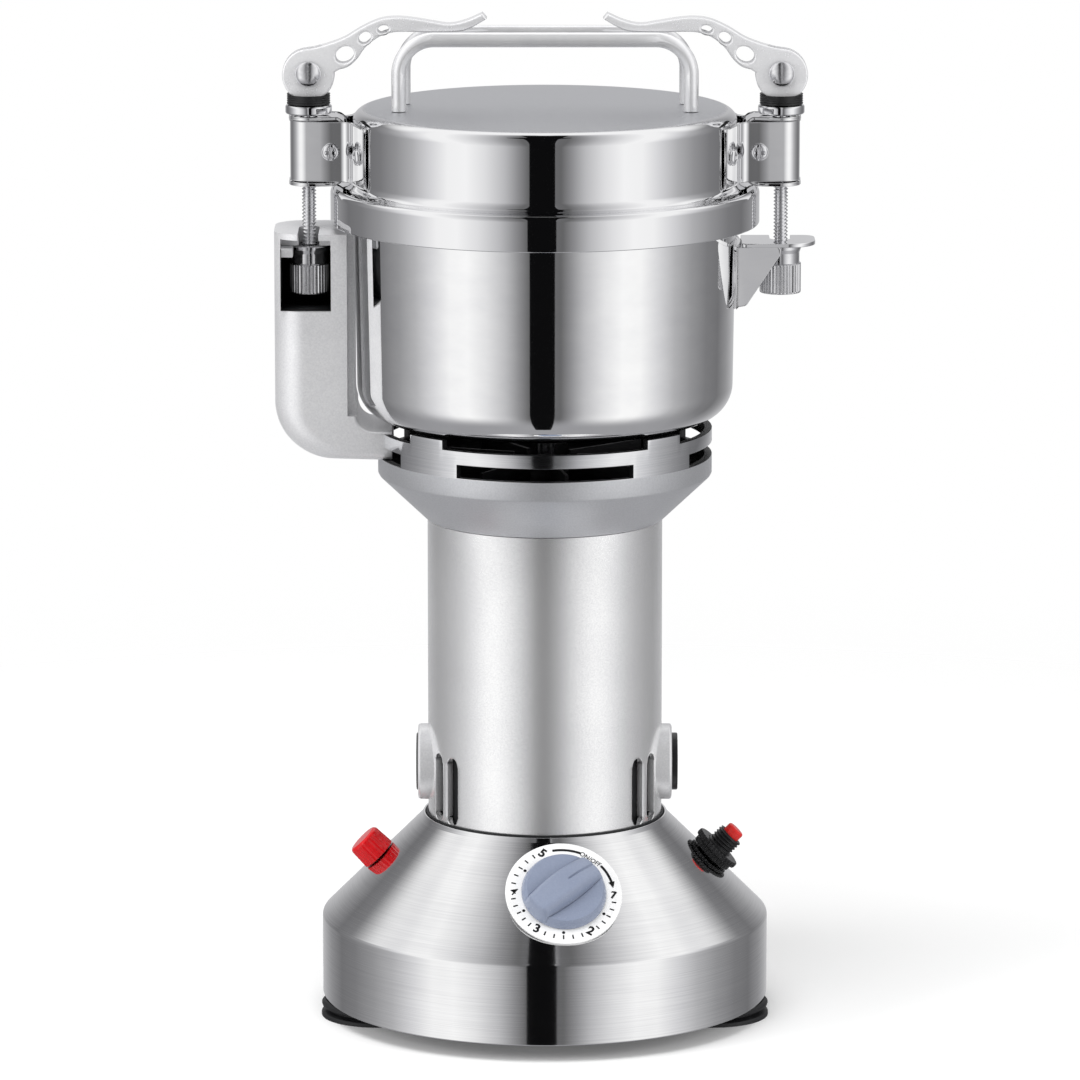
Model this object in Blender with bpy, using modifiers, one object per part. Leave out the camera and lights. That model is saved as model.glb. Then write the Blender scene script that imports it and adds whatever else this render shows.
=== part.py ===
"""Pedestal grain mill: round base, upright motor, steel grinding bowl and a lid held by two lever clamps.

Metres, +Z up. The origin is on the shaft axis at floor level, and the dial faces -Y.
"""
import bpy
import bmesh
from math import acos, asin, atan2, cos, pi, radians, sin, sqrt, tan
from mathutils import Matrix, Vector

# Clearances
gap = 0.0003
running_gap = 0.0006

# Base
foot_height = 0.0067
foot_radius = 0.023
foot_inset = 0.0212
foot_front_angle = radians(12.0)
foot_rear_angle = radians(47.0)
foot_stem_radius = 0.004
cone_run = 0.0417
cone_lip = 0.0018
skirt_height = 0.033
shell_sheet = 0.0012
bottom_plate_thickness = 0.002
column_step = 0.002

# Motor column
column_radius = 0.0477
column_height = 0.125
column_wall = 0.003
brush_height = 0.0228
brush_boss_radius = 0.0155
brush_boss_reach = 0.0041
brush_radius = 0.005
brush_cap_radius = 0.0117
brush_cap_thickness = 0.0021
brush_cap_spigot = 0.003
vent_width = 0.007
vent_length = 0.028
vent_height = 0.0165
vent_angles = (52.2, 64.9)
shaft_radius = 0.004
bearing_radius = 0.011
bearing_height = 0.007
stator_height = 0.054
stator_bore = 0.024
commutator_radius = 0.012

# Vent collar and fan
collar_radius = 0.0677
collar_height = 0.0408
collar_flare = 0.0184
collar_wall = 0.003
collar_window_height = 0.0054
collar_window_z = 0.0261
collar_window_half = 31.3
collar_gap_z = 0.0369
collar_gap_half = 37.2
fan_radius = 0.056
fan_height = 0.013

# Bowl, blades and strike bracket
bowl_radius = 0.077
bowl_taper = 0.0012
bowl_height = 0.0906
bowl_sheet = 0.0015
bowl_corner = 0.014
bowl_flange = 0.0076
blade_width = 0.014
blade_thickness = 0.002
blade_pitch = 0.012
blade_clearance = 0.014
strike_drop = 0.020
strike_sheet = 0.0016
strike_half_width = 0.0125
gusset_depth = 0.024

# Lid and handle
lid_sheet = 0.0012
lid_skirt_drop = 0.0107
lid_wall_inset = 0.0089
lid_rise = 0.0312
lid_shoulder = 0.0055
lid_cove = 0.004
gasket_thickness = 0.002
handle_bar_radius = 0.003
handle_height = 0.029
handle_bend = 0.014
handle_spread = 0.012
handle_inset = 0.0135

# Lever clamps
clamp_reach = 0.0086
clamp_sheet = 0.0015
clamp_strap_height = 0.0244
clamp_strap_half = 0.0105
clamp_strap_end = 0.0079
clamp_strap_z = 0.0025
clamp_overhang = 0.014
rod_slack = 0.0012
nut_slack = 0.0008
wing_half_angle = radians(24.0)
rod_radius = 0.003
nut_radius = 0.0083
nut_height = 0.0195
pivot_inset = 0.009
pivot_screw_radius = 0.002
washer_radius = 0.00935
washer_height = 0.0037
saddle_radius = 0.00875
saddle_height = 0.0042
saddle_floor = 0.0011
lever_radius = 0.0105
lever_thickness = 0.009
lever_throw = 0.0006
lever_slot = 0.0046
lever_pin_radius = 0.0017

# Clamp arm
arm_width = 0.030
arm_half_depth = 0.020
arm_foot_height = 0.0125
arm_foot_rise = 0.0257
arm_outer_bend = 0.037
arm_inner_bend = 0.010
arm_top_rise = 0.0065
arm_wall = 0.0027
arm_pocket_depth = 0.0248
arm_pocket_front = 0.012

# Dial, lamp and reset switch on the cone
dial_radius = 0.0235
dial_thickness = 0.0015
dial_azimuth = radians(6.3)
dial_rise = 0.00255
knob_radius = 0.0171
knob_height = 0.013
knob_ridge = 0.008
knob_floor = 0.006
knob_pointer = radians(59.0)
knob_stem_radius = 0.0027
timer_radius = 0.014
timer_depth = 0.019
timer_drop = 0.003
lamp_radius = 0.007
lamp_height = 0.010
lamp_stem_radius = 0.004
lamp_stem_depth = 0.008
reset_nut_radius = 0.0103
reset_nut_height = 0.0052
reset_neck_radius = 0.0056
reset_neck_height = 0.012
reset_button_radius = 0.00375
reset_button_height = 0.0035
gland_radius = 0.008
gland_neck_radius = 0.005
gland_bore = 0.003
gland_from_edge = 0.016

# Heights that follow from the sizes above
skirt_bottom = foot_height + gap
cone_foot_z = skirt_bottom + skirt_height
cone_top_radius = column_radius + cone_lip
base_radius = cone_top_radius + cone_run
foot_circle = base_radius - foot_inset
dial_from_edge = cone_run / 2 + dial_rise
cone_top_z = cone_foot_z + base_radius - cone_top_radius
seat_z = cone_top_z - column_step
column_bottom = seat_z + gap
column_top = column_bottom + column_height
collar_bottom = column_top + gap
collar_top = collar_bottom + collar_height
bowl_bottom = collar_top + gap
rim_z = bowl_bottom + bowl_height
flange_radius = bowl_radius + bowl_flange
gasket_bottom = rim_z + gap
ledge_z = gasket_bottom + gasket_thickness + gap + lid_sheet
skirt_radius = flange_radius + running_gap + lid_sheet
lid_wall_radius = skirt_radius - lid_wall_inset
lid_top = ledge_z + lid_rise
strike_z = rim_z - strike_drop
clamp_x = skirt_radius + clamp_reach
strap_bottom = ledge_z + clamp_strap_z
strap_top = strap_bottom + clamp_strap_height
wing_radius = lid_wall_radius + gap
strap_end_x = clamp_x + clamp_strap_end
pivot_x = clamp_x - pivot_inset
pivot_z = (strap_bottom + strap_top) / 2
washer_bottom = strap_top + gap + clamp_sheet + gap
saddle_bottom = washer_bottom + washer_height + gap
lever_z = saddle_bottom + saddle_floor + gap + lever_radius + lever_throw
nut_top = strike_z - gap
arm_outer_x = clamp_x + clamp_overhang
arm_inner_x = arm_outer_x - arm_width
arm_top = strike_z + arm_top_rise
arm_bottom = collar_bottom + arm_foot_rise

# Segments round a full turn
fine = 32
medium = 20
coarse = 14


def newCollection(name):
    made = bpy.data.collections.new(name)
    bpy.context.scene.collection.children.link(made)
    return made


def material(name, colour, metallic, roughness):
    made = bpy.data.materials.new(name)
    made.use_nodes = True
    shader = made.node_tree.nodes["Principled BSDF"]
    shader.inputs["Base Color"].default_value = (*colour, 1.0)
    shader.inputs["Metallic"].default_value = metallic
    shader.inputs["Roughness"].default_value = roughness
    return made


def addObject(name, mesh, finish=None, matrix=None):
    """A sub-part when it has a finish, otherwise a cutter that stays out of the model."""
    made = bpy.data.objects.new(name, mesh)
    if finish:
        mesh.materials.append(material(name, *finish))
        model.objects.link(made)
    else:
        made.hide_render = True
        made.display_type = "WIRE"
        cutters.objects.link(made)
    if matrix is not None:
        made.matrix_world = matrix
    return made


def filleted(corners, steps=4):
    """The outline through corners (x, y) or (x, y, radius), each radius made an arc."""
    points = []
    count = len(corners)
    for index, corner in enumerate(corners):
        here = Vector(corner[:2])
        if len(corner) == 2:
            points.append(tuple(here))
            continue
        before = (Vector(corners[index - 1][:2]) - here).normalized()
        after = (Vector(corners[(index + 1) % count][:2]) - here).normalized()
        half = acos(max(-1.0, min(1.0, before.dot(after)))) / 2
        radius = corner[2]
        middle = here + (before + after).normalized() * radius / sin(half)
        start = here + before * radius / tan(half) - middle
        finish = here + after * radius / tan(half) - middle
        first = atan2(start.y, start.x)
        turn = (atan2(finish.y, finish.x) - first + pi) % (2 * pi) - pi
        for step in range(steps + 1):
            angle = first + turn * step / steps
            points.append((middle.x + radius * cos(angle), middle.y + radius * sin(angle)))
    return points


def arc(radius, start, finish, steps):
    """Points on a circle round the origin, from start to finish in radians."""
    angles = [start + (finish - start) * step / steps for step in range(steps + 1)]
    return [(radius * cos(angle), radius * sin(angle)) for angle in angles]


def sector(inner, outer, start, finish, steps):
    return arc(inner, start, finish, steps) + arc(outer, finish, start, steps)


def ellipse(centre, wide, high, tilt, steps=10):
    points = []
    for step in range(steps):
        across = wide * cos(2 * pi * step / steps)
        along = high * sin(2 * pi * step / steps)
        x = centre[0] + across * cos(tilt) - along * sin(tilt)
        y = centre[1] + across * sin(tilt) + along * cos(tilt)
        points.append((x, y))
    return points


def turned(name, profile, steps, finish=None, matrix=None, ring=True):
    """A profile (radius, height) turned about Z; it runs down the outer side."""
    mesh = bpy.data.meshes.new(name)
    edges = [(index, index + 1) for index in range(len(profile) - 1)]
    if ring:
        edges.append((len(profile) - 1, 0))
    mesh.from_pydata([(radius, 0.0, height) for radius, height in profile], edges, [])
    made = addObject(name, mesh, finish, matrix)
    screw = made.modifiers.new("turn", "SCREW")
    screw.steps = steps
    screw.render_steps = steps
    screw.use_merge_vertices = True
    screw.merge_threshold = 0.00001
    return made


def drum(name, radius, low, high, steps, finish=None, matrix=None, bore=0.0):
    """A plain cylinder or ring between two heights."""
    if bore:
        return turned(name, [(bore, high), (radius, high), (radius, low), (bore, low)], steps, finish,
            matrix)
    return turned(name, [(0, high), (radius, high), (radius, low), (0, low)], steps, finish, matrix,
        ring=False)


def meshOf(curve):
    """The closed mesh of a curve object, with its caps welded on; the curve is removed."""
    scene = bpy.context.scene.collection
    holder = bpy.data.objects.new("outline", curve)
    scene.objects.link(holder)
    bpy.context.view_layer.update()
    evaluated = holder.evaluated_get(bpy.context.evaluated_depsgraph_get())
    mesh = bpy.data.meshes.new_from_object(evaluated)
    bpy.data.objects.remove(holder)
    work = bmesh.new()
    work.from_mesh(mesh)
    bmesh.ops.remove_doubles(work, verts=work.verts, dist=0.000001)
    bmesh.ops.recalc_face_normals(work, faces=work.faces)
    work.to_mesh(mesh)
    work.free()
    mesh.shade_smooth()
    mesh.set_sharp_from_angle(angle=radians(40))
    return mesh


def plate(name, outlines, thickness, finish=None, matrix=None):
    """A flat sheet: the first outline is its edge and the others are holes."""
    curve = bpy.data.curves.new(name, "CURVE")
    curve.dimensions = "2D"
    curve.fill_mode = "BOTH"
    curve.extrude = thickness / 2
    for outline in outlines:
        spline = curve.splines.new("POLY")
        spline.points.add(len(outline) - 1)
        for point, (x, y) in zip(spline.points, outline):
            point.co = (x, y, 0.0, 1.0)
        spline.use_cyclic_u = True
    return addObject(name, meshOf(curve), finish, matrix)


def bar(name, path, radius, finish):
    """A round bar along a path of 3-D points."""
    curve = bpy.data.curves.new(name, "CURVE")
    curve.dimensions = "3D"
    curve.bevel_depth = radius
    curve.bevel_resolution = 2
    curve.use_fill_caps = True
    spline = curve.splines.new("POLY")
    spline.points.add(len(path) - 1)
    for point, place in zip(spline.points, path):
        point.co = (*place, 1.0)
    return addObject(name, meshOf(curve), finish)


def blocks(name, pairs, matrix=None):
    """Cutter made of boxes, each between a low and a high corner."""
    mesh = bpy.data.meshes.new(name)
    work = bmesh.new()
    for low, high in pairs:
        size = Vector(high) - Vector(low)
        place = Matrix.Translation((Vector(low) + Vector(high)) / 2) @ Matrix.Diagonal((*size, 1.0))
        bmesh.ops.create_cube(work, size=1.0, matrix=place)
    work.to_mesh(mesh)
    work.free()
    return addObject(name, mesh, None, matrix)


def cut(target, cutter, operation="DIFFERENCE"):
    step = target.modifiers.new(cutter.name, "BOOLEAN")
    step.operation = operation
    step.solver = "EXACT"
    step.object = cutter


def level(height):
    return Matrix.Translation((0.0, 0.0, height))


def along(direction, place):
    """A frame whose Z axis points along a direction, at a place."""
    turn = Vector(direction).to_track_quat("Z", "Y").to_matrix().to_4x4()
    return Matrix.Translation(place) @ turn


def upright(place):
    """A frame whose outline plane is X and Z, with the sheet's thickness along Y."""
    return Matrix.Translation(place) @ Matrix.Rotation(radians(90), 4, "X")


def onCone(azimuth, from_edge):
    """A frame on the base's cone: Z leaves the surface at a right angle and Y climbs it.

    The azimuth is 0 at the front and grows towards +X.
    """
    out = Vector((sin(azimuth), -cos(azimuth), 0.0))
    side = Vector((cos(azimuth), sin(azimuth), 0.0))
    normal = (out + Vector((0, 0, 1))).normalized()
    climb = normal.cross(side)
    radius = base_radius - from_edge
    place = out * radius + Vector((0, 0, cone_foot_z + from_edge))
    turn = Matrix((side, climb, normal)).transposed().to_4x4()
    return Matrix.Translation(place) @ turn


brushed = ((0.62, 0.62, 0.62), 1.0, 0.32)
polished = ((0.70, 0.70, 0.71), 1.0, 0.12)
chrome = ((0.78, 0.78, 0.79), 1.0, 0.06)
castSilver = ((0.50, 0.51, 0.52), 0.7, 0.45)
darkIron = ((0.10, 0.10, 0.11), 0.8, 0.5)
blackRubber = ((0.012, 0.012, 0.012), 0.0, 0.55)
blackPlastic = ((0.015, 0.015, 0.016), 0.0, 0.4)
whitePlastic = ((0.80, 0.80, 0.80), 0.0, 0.35)
bluePlastic = ((0.27, 0.33, 0.45), 0.0, 0.4)
redPlastic = ((0.62, 0.01, 0.01), 0.0, 0.25)
copper = ((0.60, 0.28, 0.14), 1.0, 0.35)
silicone = ((0.55, 0.55, 0.52), 0.0, 0.5)


def makeFeet():
    """Four suction feet: two grooves round the side, a stem into the bottom plate, a hollow below."""
    lip = foot_radius - 0.0035
    profile = filleted([
        (0, foot_height + 0.0043), (foot_stem_radius, foot_height + 0.0043),
        (foot_stem_radius, foot_height), (foot_radius - 0.001, foot_height),
        (foot_radius, foot_height - 0.0012),
        (foot_radius - 0.0005, 0.0040), (foot_radius - 0.003, 0.0036), (foot_radius - 0.003, 0.0026),
        (foot_radius, 0.0018), (foot_radius, 0), (lip, 0), (lip - 0.003, 0.0012), (0, 0.0018),
    ])
    places = {
        "foot_front_left": pi + foot_front_angle, "foot_front_right": -foot_front_angle,
        "foot_rear_left": pi - foot_rear_angle, "foot_rear_right": foot_rear_angle,
    }
    for name, angle in places.items():
        spot = Matrix.Translation((foot_circle * cos(angle), foot_circle * sin(angle), 0))
        turned(name, profile, coarse, blackRubber, spot, ring=False)
    return list(places.values())


def makeBase(foot_angles):
    inner = base_radius - shell_sheet
    slant = base_radius + cone_foot_z - shell_sheet * sqrt(2)
    flange_under = seat_z - shell_sheet
    lip = cone_top_radius - 0.0012
    profile = filleted([
        (lip, cone_top_z), (cone_top_radius, cone_top_z), (base_radius, cone_foot_z, 0.002),
        (base_radius, skirt_bottom), (inner, skirt_bottom), (inner, slant - inner),
        (slant - flange_under, flange_under), (column_radius - 0.008, flange_under),
        (column_radius - 0.008, seat_z), (lip, seat_z),
    ], 2)
    shell = turned("base_shell", profile, fine, brushed)
    holes = (
        ("timer_hole", onCone(dial_azimuth, dial_from_edge), knob_stem_radius + running_gap),
        ("lamp_hole", onCone(-pi / 2, dial_from_edge), lamp_stem_radius + gap),
        ("reset_hole", onCone(pi / 2, dial_from_edge), reset_neck_radius + gap),
        ("gland_hole", onCone(pi, gland_from_edge), gland_neck_radius + gap),
    )
    for name, spot, radius in holes:
        cut(shell, drum(name, radius, -0.006, 0.006, 16, None, spot))
    low = skirt_bottom + gap
    bottom = drum("bottom_plate", inner - gap, low, low + bottom_plate_thickness, fine, darkIron)
    for number, angle in enumerate(foot_angles):
        spot = Matrix.Translation((foot_circle * cos(angle), foot_circle * sin(angle), low))
        cut(bottom, drum(f"foot_hole_{number}", foot_stem_radius + gap, -0.01, 0.01, 12, None, spot))
    cut(bottom, drum("air_inlet", 0.022, low - 0.01, low + 0.01, 24))


def makeDial():
    spot = onCone(dial_azimuth, dial_from_edge)
    disc = drum("dial_plate", dial_radius, -0.006, dial_thickness, 28, whitePlastic, spot,
                bore=knob_stem_radius + running_gap)
    clear = gap * sqrt(2)
    edge = base_radius + cone_foot_z + clear
    cone = [(0, edge), (edge - 0.02, 0.02), (0, 0.02)]
    cut(disc, turned("dial_underside", cone, 64, ring=False))
    knob = turned("timer_knob", filleted([
        (0, knob_height), (knob_radius - 0.001, knob_height, 0.001), (knob_radius, dial_thickness + gap),
        (knob_stem_radius, dial_thickness + gap), (knob_stem_radius, -0.0026), (0, -0.0026),
    ]), medium, bluePlastic, spot, ring=False)
    wide = knob_radius + 0.002
    half = knob_ridge / 2
    floor = knob_floor + dial_thickness
    sides = [((-wide, half, floor), (wide, wide, wide)), ((-wide, -wide, floor), (wide, -half, wide))]
    cut(knob, blocks("knob_grips", sides, spot @ Matrix.Rotation(knob_pointer, 4, "Z")))
    drum("timer_body", timer_radius, -timer_drop - timer_depth, -timer_drop, 24, blackPlastic, spot)


def makeLampAndReset():
    lamp = onCone(-pi / 2, dial_from_edge)
    turned("indicator_lamp", filleted([
        (0, lamp_height), (lamp_radius, lamp_height, 0.0015), (lamp_radius + 0.0005, gap),
        (lamp_stem_radius, gap), (lamp_stem_radius, -lamp_stem_depth), (0, -lamp_stem_depth),
    ], 2), coarse, redPlastic, lamp, ring=False)
    reset = onCone(pi / 2, dial_from_edge)
    tier = reset_nut_height / 2 + gap
    bore = reset_neck_radius + gap
    turned("reset_nut", [
        (bore, reset_nut_height), (reset_nut_radius - 0.0012, reset_nut_height),
        (reset_nut_radius - 0.0012, tier), (reset_nut_radius, tier), (reset_nut_radius, gap + 0.0001),
        (bore, gap + 0.0001),
    ], 24, blackPlastic, reset)
    inside = reset_button_radius + gap
    floor = reset_neck_height - 0.007
    turned("reset_body", [
        (inside, reset_neck_height), (reset_neck_radius, reset_neck_height), (reset_neck_radius, -0.003),
        (0.009, -0.003), (0.009, -0.020), (0, -0.020), (0, floor), (inside, floor),
    ], 24, blackPlastic, reset, ring=True)
    turned("reset_button", filleted([
        (0, reset_neck_height + reset_button_height),
        (reset_button_radius, reset_neck_height + reset_button_height, 0.0008),
        (reset_button_radius, floor + 0.0025), (0, floor + 0.0025),
    ], 2), coarse, redPlastic, reset, ring=False)
    gland = onCone(pi, gland_from_edge)
    turned("cord_gland", [
        (gland_bore, 0.010), (gland_neck_radius, 0.010), (gland_radius - 0.001, 0.0035),
        (gland_radius, 0.0035),
        (gland_radius, gap + 0.0001), (gland_neck_radius, gap + 0.0001), (gland_neck_radius, -0.008),
        (gland_bore, -0.008),
    ], coarse, blackRubber, gland)


def makeHousing():
    """The motor's cast tube with a brush boss on each side and air slots in four groups."""
    housing = drum("motor_housing", column_radius, column_bottom, column_top, fine, castSilver)
    brush_z = column_bottom + brush_height
    across = along((1, 0, 0), (0, 0, brush_z))
    reach = column_radius + brush_boss_reach
    cut(housing, drum("brush_bosses", brush_boss_radius, -reach, reach, 24, None, across), "UNION")
    bore = column_radius - column_wall
    cut(housing, drum("housing_bore", bore, column_bottom - 0.01, column_top + 0.01, fine))
    cut(housing, drum("brush_holes", brush_radius + gap, -0.08, 0.08, 16, None, across))
    half = vent_length / 2 - vent_width / 2
    slot = [(x, y - half) for x, y in arc(vent_width / 2, pi, 2 * pi, 6)]
    slot += [(x, y + half) for x, y in arc(vent_width / 2, 0, pi, 6)]
    centre_z = column_bottom + vent_height
    for quarter in range(4):
        for number, angle in enumerate(vent_angles):
            signed = radians(angle) if quarter % 2 else -radians(angle)
            azimuth = signed if quarter < 2 else pi - signed
            out = Vector((sin(azimuth), -cos(azimuth), 0))
            turn = Matrix((Vector((0, 0, 1)).cross(out), Vector((0, 0, 1)), out)).transposed().to_4x4()
            place = Matrix.Translation(out * column_radius + Vector((0, 0, centre_z))) @ turn
            cut(housing, plate(f"vent_{quarter}_{number}", [slot], 0.012, None, place))
    for side, name in ((-1, "left"), (1, "right")):
        outward = along((side, 0, 0), (0, 0, brush_z))
        spigot = reach - brush_cap_spigot + gap
        drum(f"brush_{name}", brush_radius, commutator_radius + gap, reach - brush_cap_spigot, 16,
            darkIron, outward)
        turned(f"brush_cap_{name}", [
            (0, reach + gap + brush_cap_thickness), (brush_cap_radius, reach + gap + brush_cap_thickness),
            (brush_cap_radius, reach + gap), (brush_radius, reach + gap), (brush_radius, spigot),
            (0, spigot),
        ], 24, blackPlastic, outward, ring=False)
    return bore


def endBell(name, radius, plate_low, plate_high, cup_low, cup_high):
    """A bearing plate: a ring at the housing wall, a cup for the bearing, and four air holes."""
    seat = bearing_radius + gap
    wall = seat + 0.003
    if cup_high > plate_high:
        profile = [(seat, cup_high), (wall, cup_high), (wall, plate_high), (radius, plate_high),
                   (radius, plate_low), (shaft_radius + 0.002, plate_low),
                   (shaft_radius + 0.002, plate_high - 0.0015), (seat, plate_high - 0.0015)]
    else:
        profile = [(shaft_radius + 0.002, plate_high), (radius, plate_high), (radius, plate_low),
                   (wall, plate_low), (wall, cup_low), (seat, cup_low), (seat, plate_low + 0.0015),
                   (shaft_radius + 0.002, plate_low + 0.0015)]
    bell = turned(name, profile, medium, castSilver)
    for quarter in range(4):
        middle = radians(45 + 90 * quarter)
        shape = sector(wall + 0.004, radius - 0.006, middle - 0.5, middle + 0.5, 4)
        cut(bell, plate(f"{name}_air_{quarter}", [shape], 0.02, None, level((plate_low + plate_high) / 2)))


def makeMotor(bore):
    outer = bore - gap
    bell_low = column_bottom + gap
    endBell("lower_end_bell", outer, bell_low, bell_low + 0.003, bell_low,
        bell_low + 0.003 + bearing_height)
    lower_bearing = bell_low + 0.003 + gap - 0.0015
    bell_high = column_top - 0.004
    endBell("upper_end_bell", outer, bell_high - 0.003, bell_high, bell_high - 0.003 - bearing_height,
        bell_high)
    upper_bearing = bell_high - 0.003 - gap + 0.0015 - bearing_height
    for name, low in (("lower_bearing", lower_bearing), ("upper_bearing", upper_bearing)):
        drum(name, bearing_radius, low, low + bearing_height, 24, polished, None, bore=shaft_radius + gap)
    middle = (column_bottom + brush_height + upper_bearing) / 2 + 0.006
    half = stator_height / 2
    wound = half + 0.006
    winding = outer - 0.006
    turned("stator", [
        (stator_bore + 0.002, middle + wound), (winding, middle + wound), (winding, middle + half),
        (outer, middle + half), (outer, middle - half), (winding, middle - half), (winding, middle - wound),
        (stator_bore + 0.002, middle - wound), (stator_bore + 0.002, middle - half),
        (stator_bore, middle - half),
        (stator_bore, middle + half), (stator_bore + 0.002, middle + half),
    ], medium, darkIron)
    around = shaft_radius + gap
    core = stator_bore - running_gap
    turned("rotor_core", [
        (around, middle + wound), (core - 0.005, middle + wound), (core - 0.004, middle + half),
        (core, middle + half), (core, middle - half), (core - 0.004, middle - half),
        (core - 0.005, middle - wound), (around, middle - wound),
    ], medium, copper)
    brush_z = column_bottom + brush_height
    drum("commutator", commutator_radius, brush_z - 0.008, brush_z + 0.008, 24, copper, None, bore=around)
    return bell_low + 0.0005


def makeCollar():
    """The cast collar: a flare up from the column, air windows, and four tabs that carry the bowl."""
    bore = column_radius - column_wall
    inner = collar_radius - collar_wall
    flare_z = collar_bottom + collar_flare
    collar = turned("vent_collar", [
        (inner, collar_top), (collar_radius, collar_top), (collar_radius, flare_z),
        (column_radius + 0.0008, collar_bottom), (bore, collar_bottom), (inner, flare_z + 0.001),
    ], fine, castSilver)
    far = collar_radius + 0.01
    near = inner - 0.006
    window = sector(near, far, -radians(collar_window_half), radians(collar_window_half), 10)
    opening = sector(near, far, -radians(collar_gap_half), radians(collar_gap_half), 12)
    window_z = collar_bottom + collar_window_z + collar_window_height / 2
    opening_high = collar_top + 0.005
    opening_low = collar_bottom + collar_gap_z
    for quarter in range(4):
        turn = Matrix.Rotation(pi / 2 * quarter, 4, "Z")
        cut(collar, plate(f"window_{quarter}", [window], collar_window_height, None,
            level(window_z) @ turn))
        tall = opening_high - opening_low
        middle = level((opening_high + opening_low) / 2)
        cut(collar, plate(f"opening_{quarter}", [opening], tall, None, middle @ turn))
    fan_low = collar_bottom + 0.0125
    around = shaft_radius + gap
    fan = turned("cooling_fan", [
        (around, fan_low + 0.008), (0.010, fan_low + 0.008), (0.010, fan_low + 0.0015),
        (fan_radius - 0.004, fan_low + 0.0015), (fan_radius - 0.004, fan_low), (around, fan_low),
    ], medium, darkIron)
    low = (0.013, -0.0007, fan_low + 0.0008)
    high = (fan_radius - 0.005, 0.0007, fan_low + fan_height)
    for number in range(9):
        vane = blocks(f"fan_vane_{number}", [(low, high)], Matrix.Rotation(2 * pi * number / 9, 4, "Z"))
        cut(fan, vane, "UNION")


def makeBowl():
    inside = bowl_sheet
    seal_bore = 0.012
    low = bowl_radius - bowl_taper
    corner = bowl_corner
    profile = filleted([
        (flange_radius, rim_z), (flange_radius, rim_z - bowl_sheet),
        (bowl_radius, rim_z - bowl_sheet, 0.0015),
        (low, bowl_bottom, corner), (seal_bore, bowl_bottom), (seal_bore, bowl_bottom + inside),
        (low - inside, bowl_bottom + inside, corner - inside), (bowl_radius - inside, rim_z, 0.0012),
    ], 3)
    turned("bowl", profile, fine, polished)
    turned("shaft_seal", [
        (shaft_radius + gap, bowl_bottom + 0.0035), (seal_bore + 0.003, bowl_bottom + 0.0035),
        (seal_bore + 0.003, bowl_bottom + bowl_sheet + gap),
        (seal_bore - gap, bowl_bottom + bowl_sheet + gap),
        (seal_bore - gap, bowl_bottom - 0.003), (shaft_radius + gap, bowl_bottom - 0.003),
    ], 24, blackRubber)


def makeBlades(shaft_bottom):
    """The shaft, and on its end a shoulder, two cross blades, a spacer and a nut."""
    around = shaft_radius + gap
    shoulder = bowl_bottom + 0.0035 + gap
    blade_z = shoulder + 0.004
    reach = bowl_radius - bowl_taper - bowl_sheet - blade_clearance
    half = blade_width / 2
    outline = filleted([
        (-reach, half * 0.2), (-reach * 0.9, half * 0.6), (-half * 1.4, half, 0.004),
        (half * 1.4, half, 0.004),
        (reach, -half * 0.2 + 0.002), (reach, -half * 0.2), (reach * 0.9, -half * 0.6),
        (half * 1.4, -half, 0.004),
        (-half * 1.4, -half, 0.004), (-reach, half * 0.2 - 0.002),
    ])
    top = blade_z + 2 * blade_thickness + blade_pitch + 4 * gap
    profile = [(0, top + 0.010), (shaft_radius, top + 0.010), (shaft_radius, shoulder + 0.004 - gap),
               (0.009, shoulder + 0.004 - gap), (0.009, shoulder), (shaft_radius, shoulder),
               (shaft_radius, shaft_bottom), (0, shaft_bottom)]
    turned("motor_shaft", profile, 24, polished, None, ring=False)
    names = ("lower_blade", "upper_blade")
    for number, name in enumerate(names):
        low = blade_z + number * (blade_thickness + blade_pitch + 2 * gap)
        turn = Matrix.Rotation(radians(90 * number + 20), 4, "Z")
        plate(name, [outline, ellipse((0, 0), around, around, 0)], blade_thickness, polished,
                      level(low + blade_thickness / 2) @ turn)
        low = blade_z + blade_thickness + gap
    drum("blade_spacer", 0.009, low, low + blade_pitch, 24, polished, None, bore=around)
    hexagon = arc(0.009, 0, 2 * pi * 5 / 6, 5)
    plate("blade_nut", [hexagon, ellipse((0, 0), around, around, 0)], 0.007, polished, level(top + 0.0035))


def makeStrike():
    """The right-hand strike: a slotted shelf on a curved flange, with a gusset under each edge."""
    back = bowl_radius + gap
    flange = back + strike_sheet
    end = clamp_x + clamp_overhang
    half = strike_half_width
    span = asin((half + 0.004) / flange)
    middle = strike_z + strike_sheet / 2
    shelf_outline = filleted([(flange - 0.001, half), (end, half, half * 0.9), (end, -half, half * 0.9),
                              (flange - 0.001, -half)], 6)
    shelf = plate("strike_bracket", [shelf_outline], strike_sheet, polished, level(middle))
    low = strike_z + strike_sheet - gusset_depth - 0.002
    wing = plate("strike_flange", [sector(back, flange, -span, span, 8)],
        strike_z + strike_sheet - low, None,
                 level((strike_z + strike_sheet + low) / 2))
    for name, y, deep in (("gusset_front", -half + 0.0008, 0.0165), ("gusset_rear", half - 0.0008, 0.005)):
        wall = sqrt(flange ** 2 - half ** 2) - 0.0002
        shape = [(wall, low + 0.001), (wall, strike_z + 0.0008), (wall + deep, strike_z + 0.0008),
                 (wall + deep, strike_z - 0.002)]
        cut(shelf, plate(name, [shape], 0.0016, None, upright((0, y, 0))), "UNION")
    cut(shelf, wing, "UNION")
    slot = rod_radius + rod_slack
    open_turn = asin(half / clamp_x) + 0.04
    channel = sector(clamp_x - slot, clamp_x + slot, -slot / clamp_x, open_turn, 8)
    cut(shelf, plate("strike_slot", [channel], 0.01, None, level(middle)))
    bowl_side = drum("strike_relief", back, low - 0.01, strike_z + 0.01, 96)
    cut(shelf, bowl_side)


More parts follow.
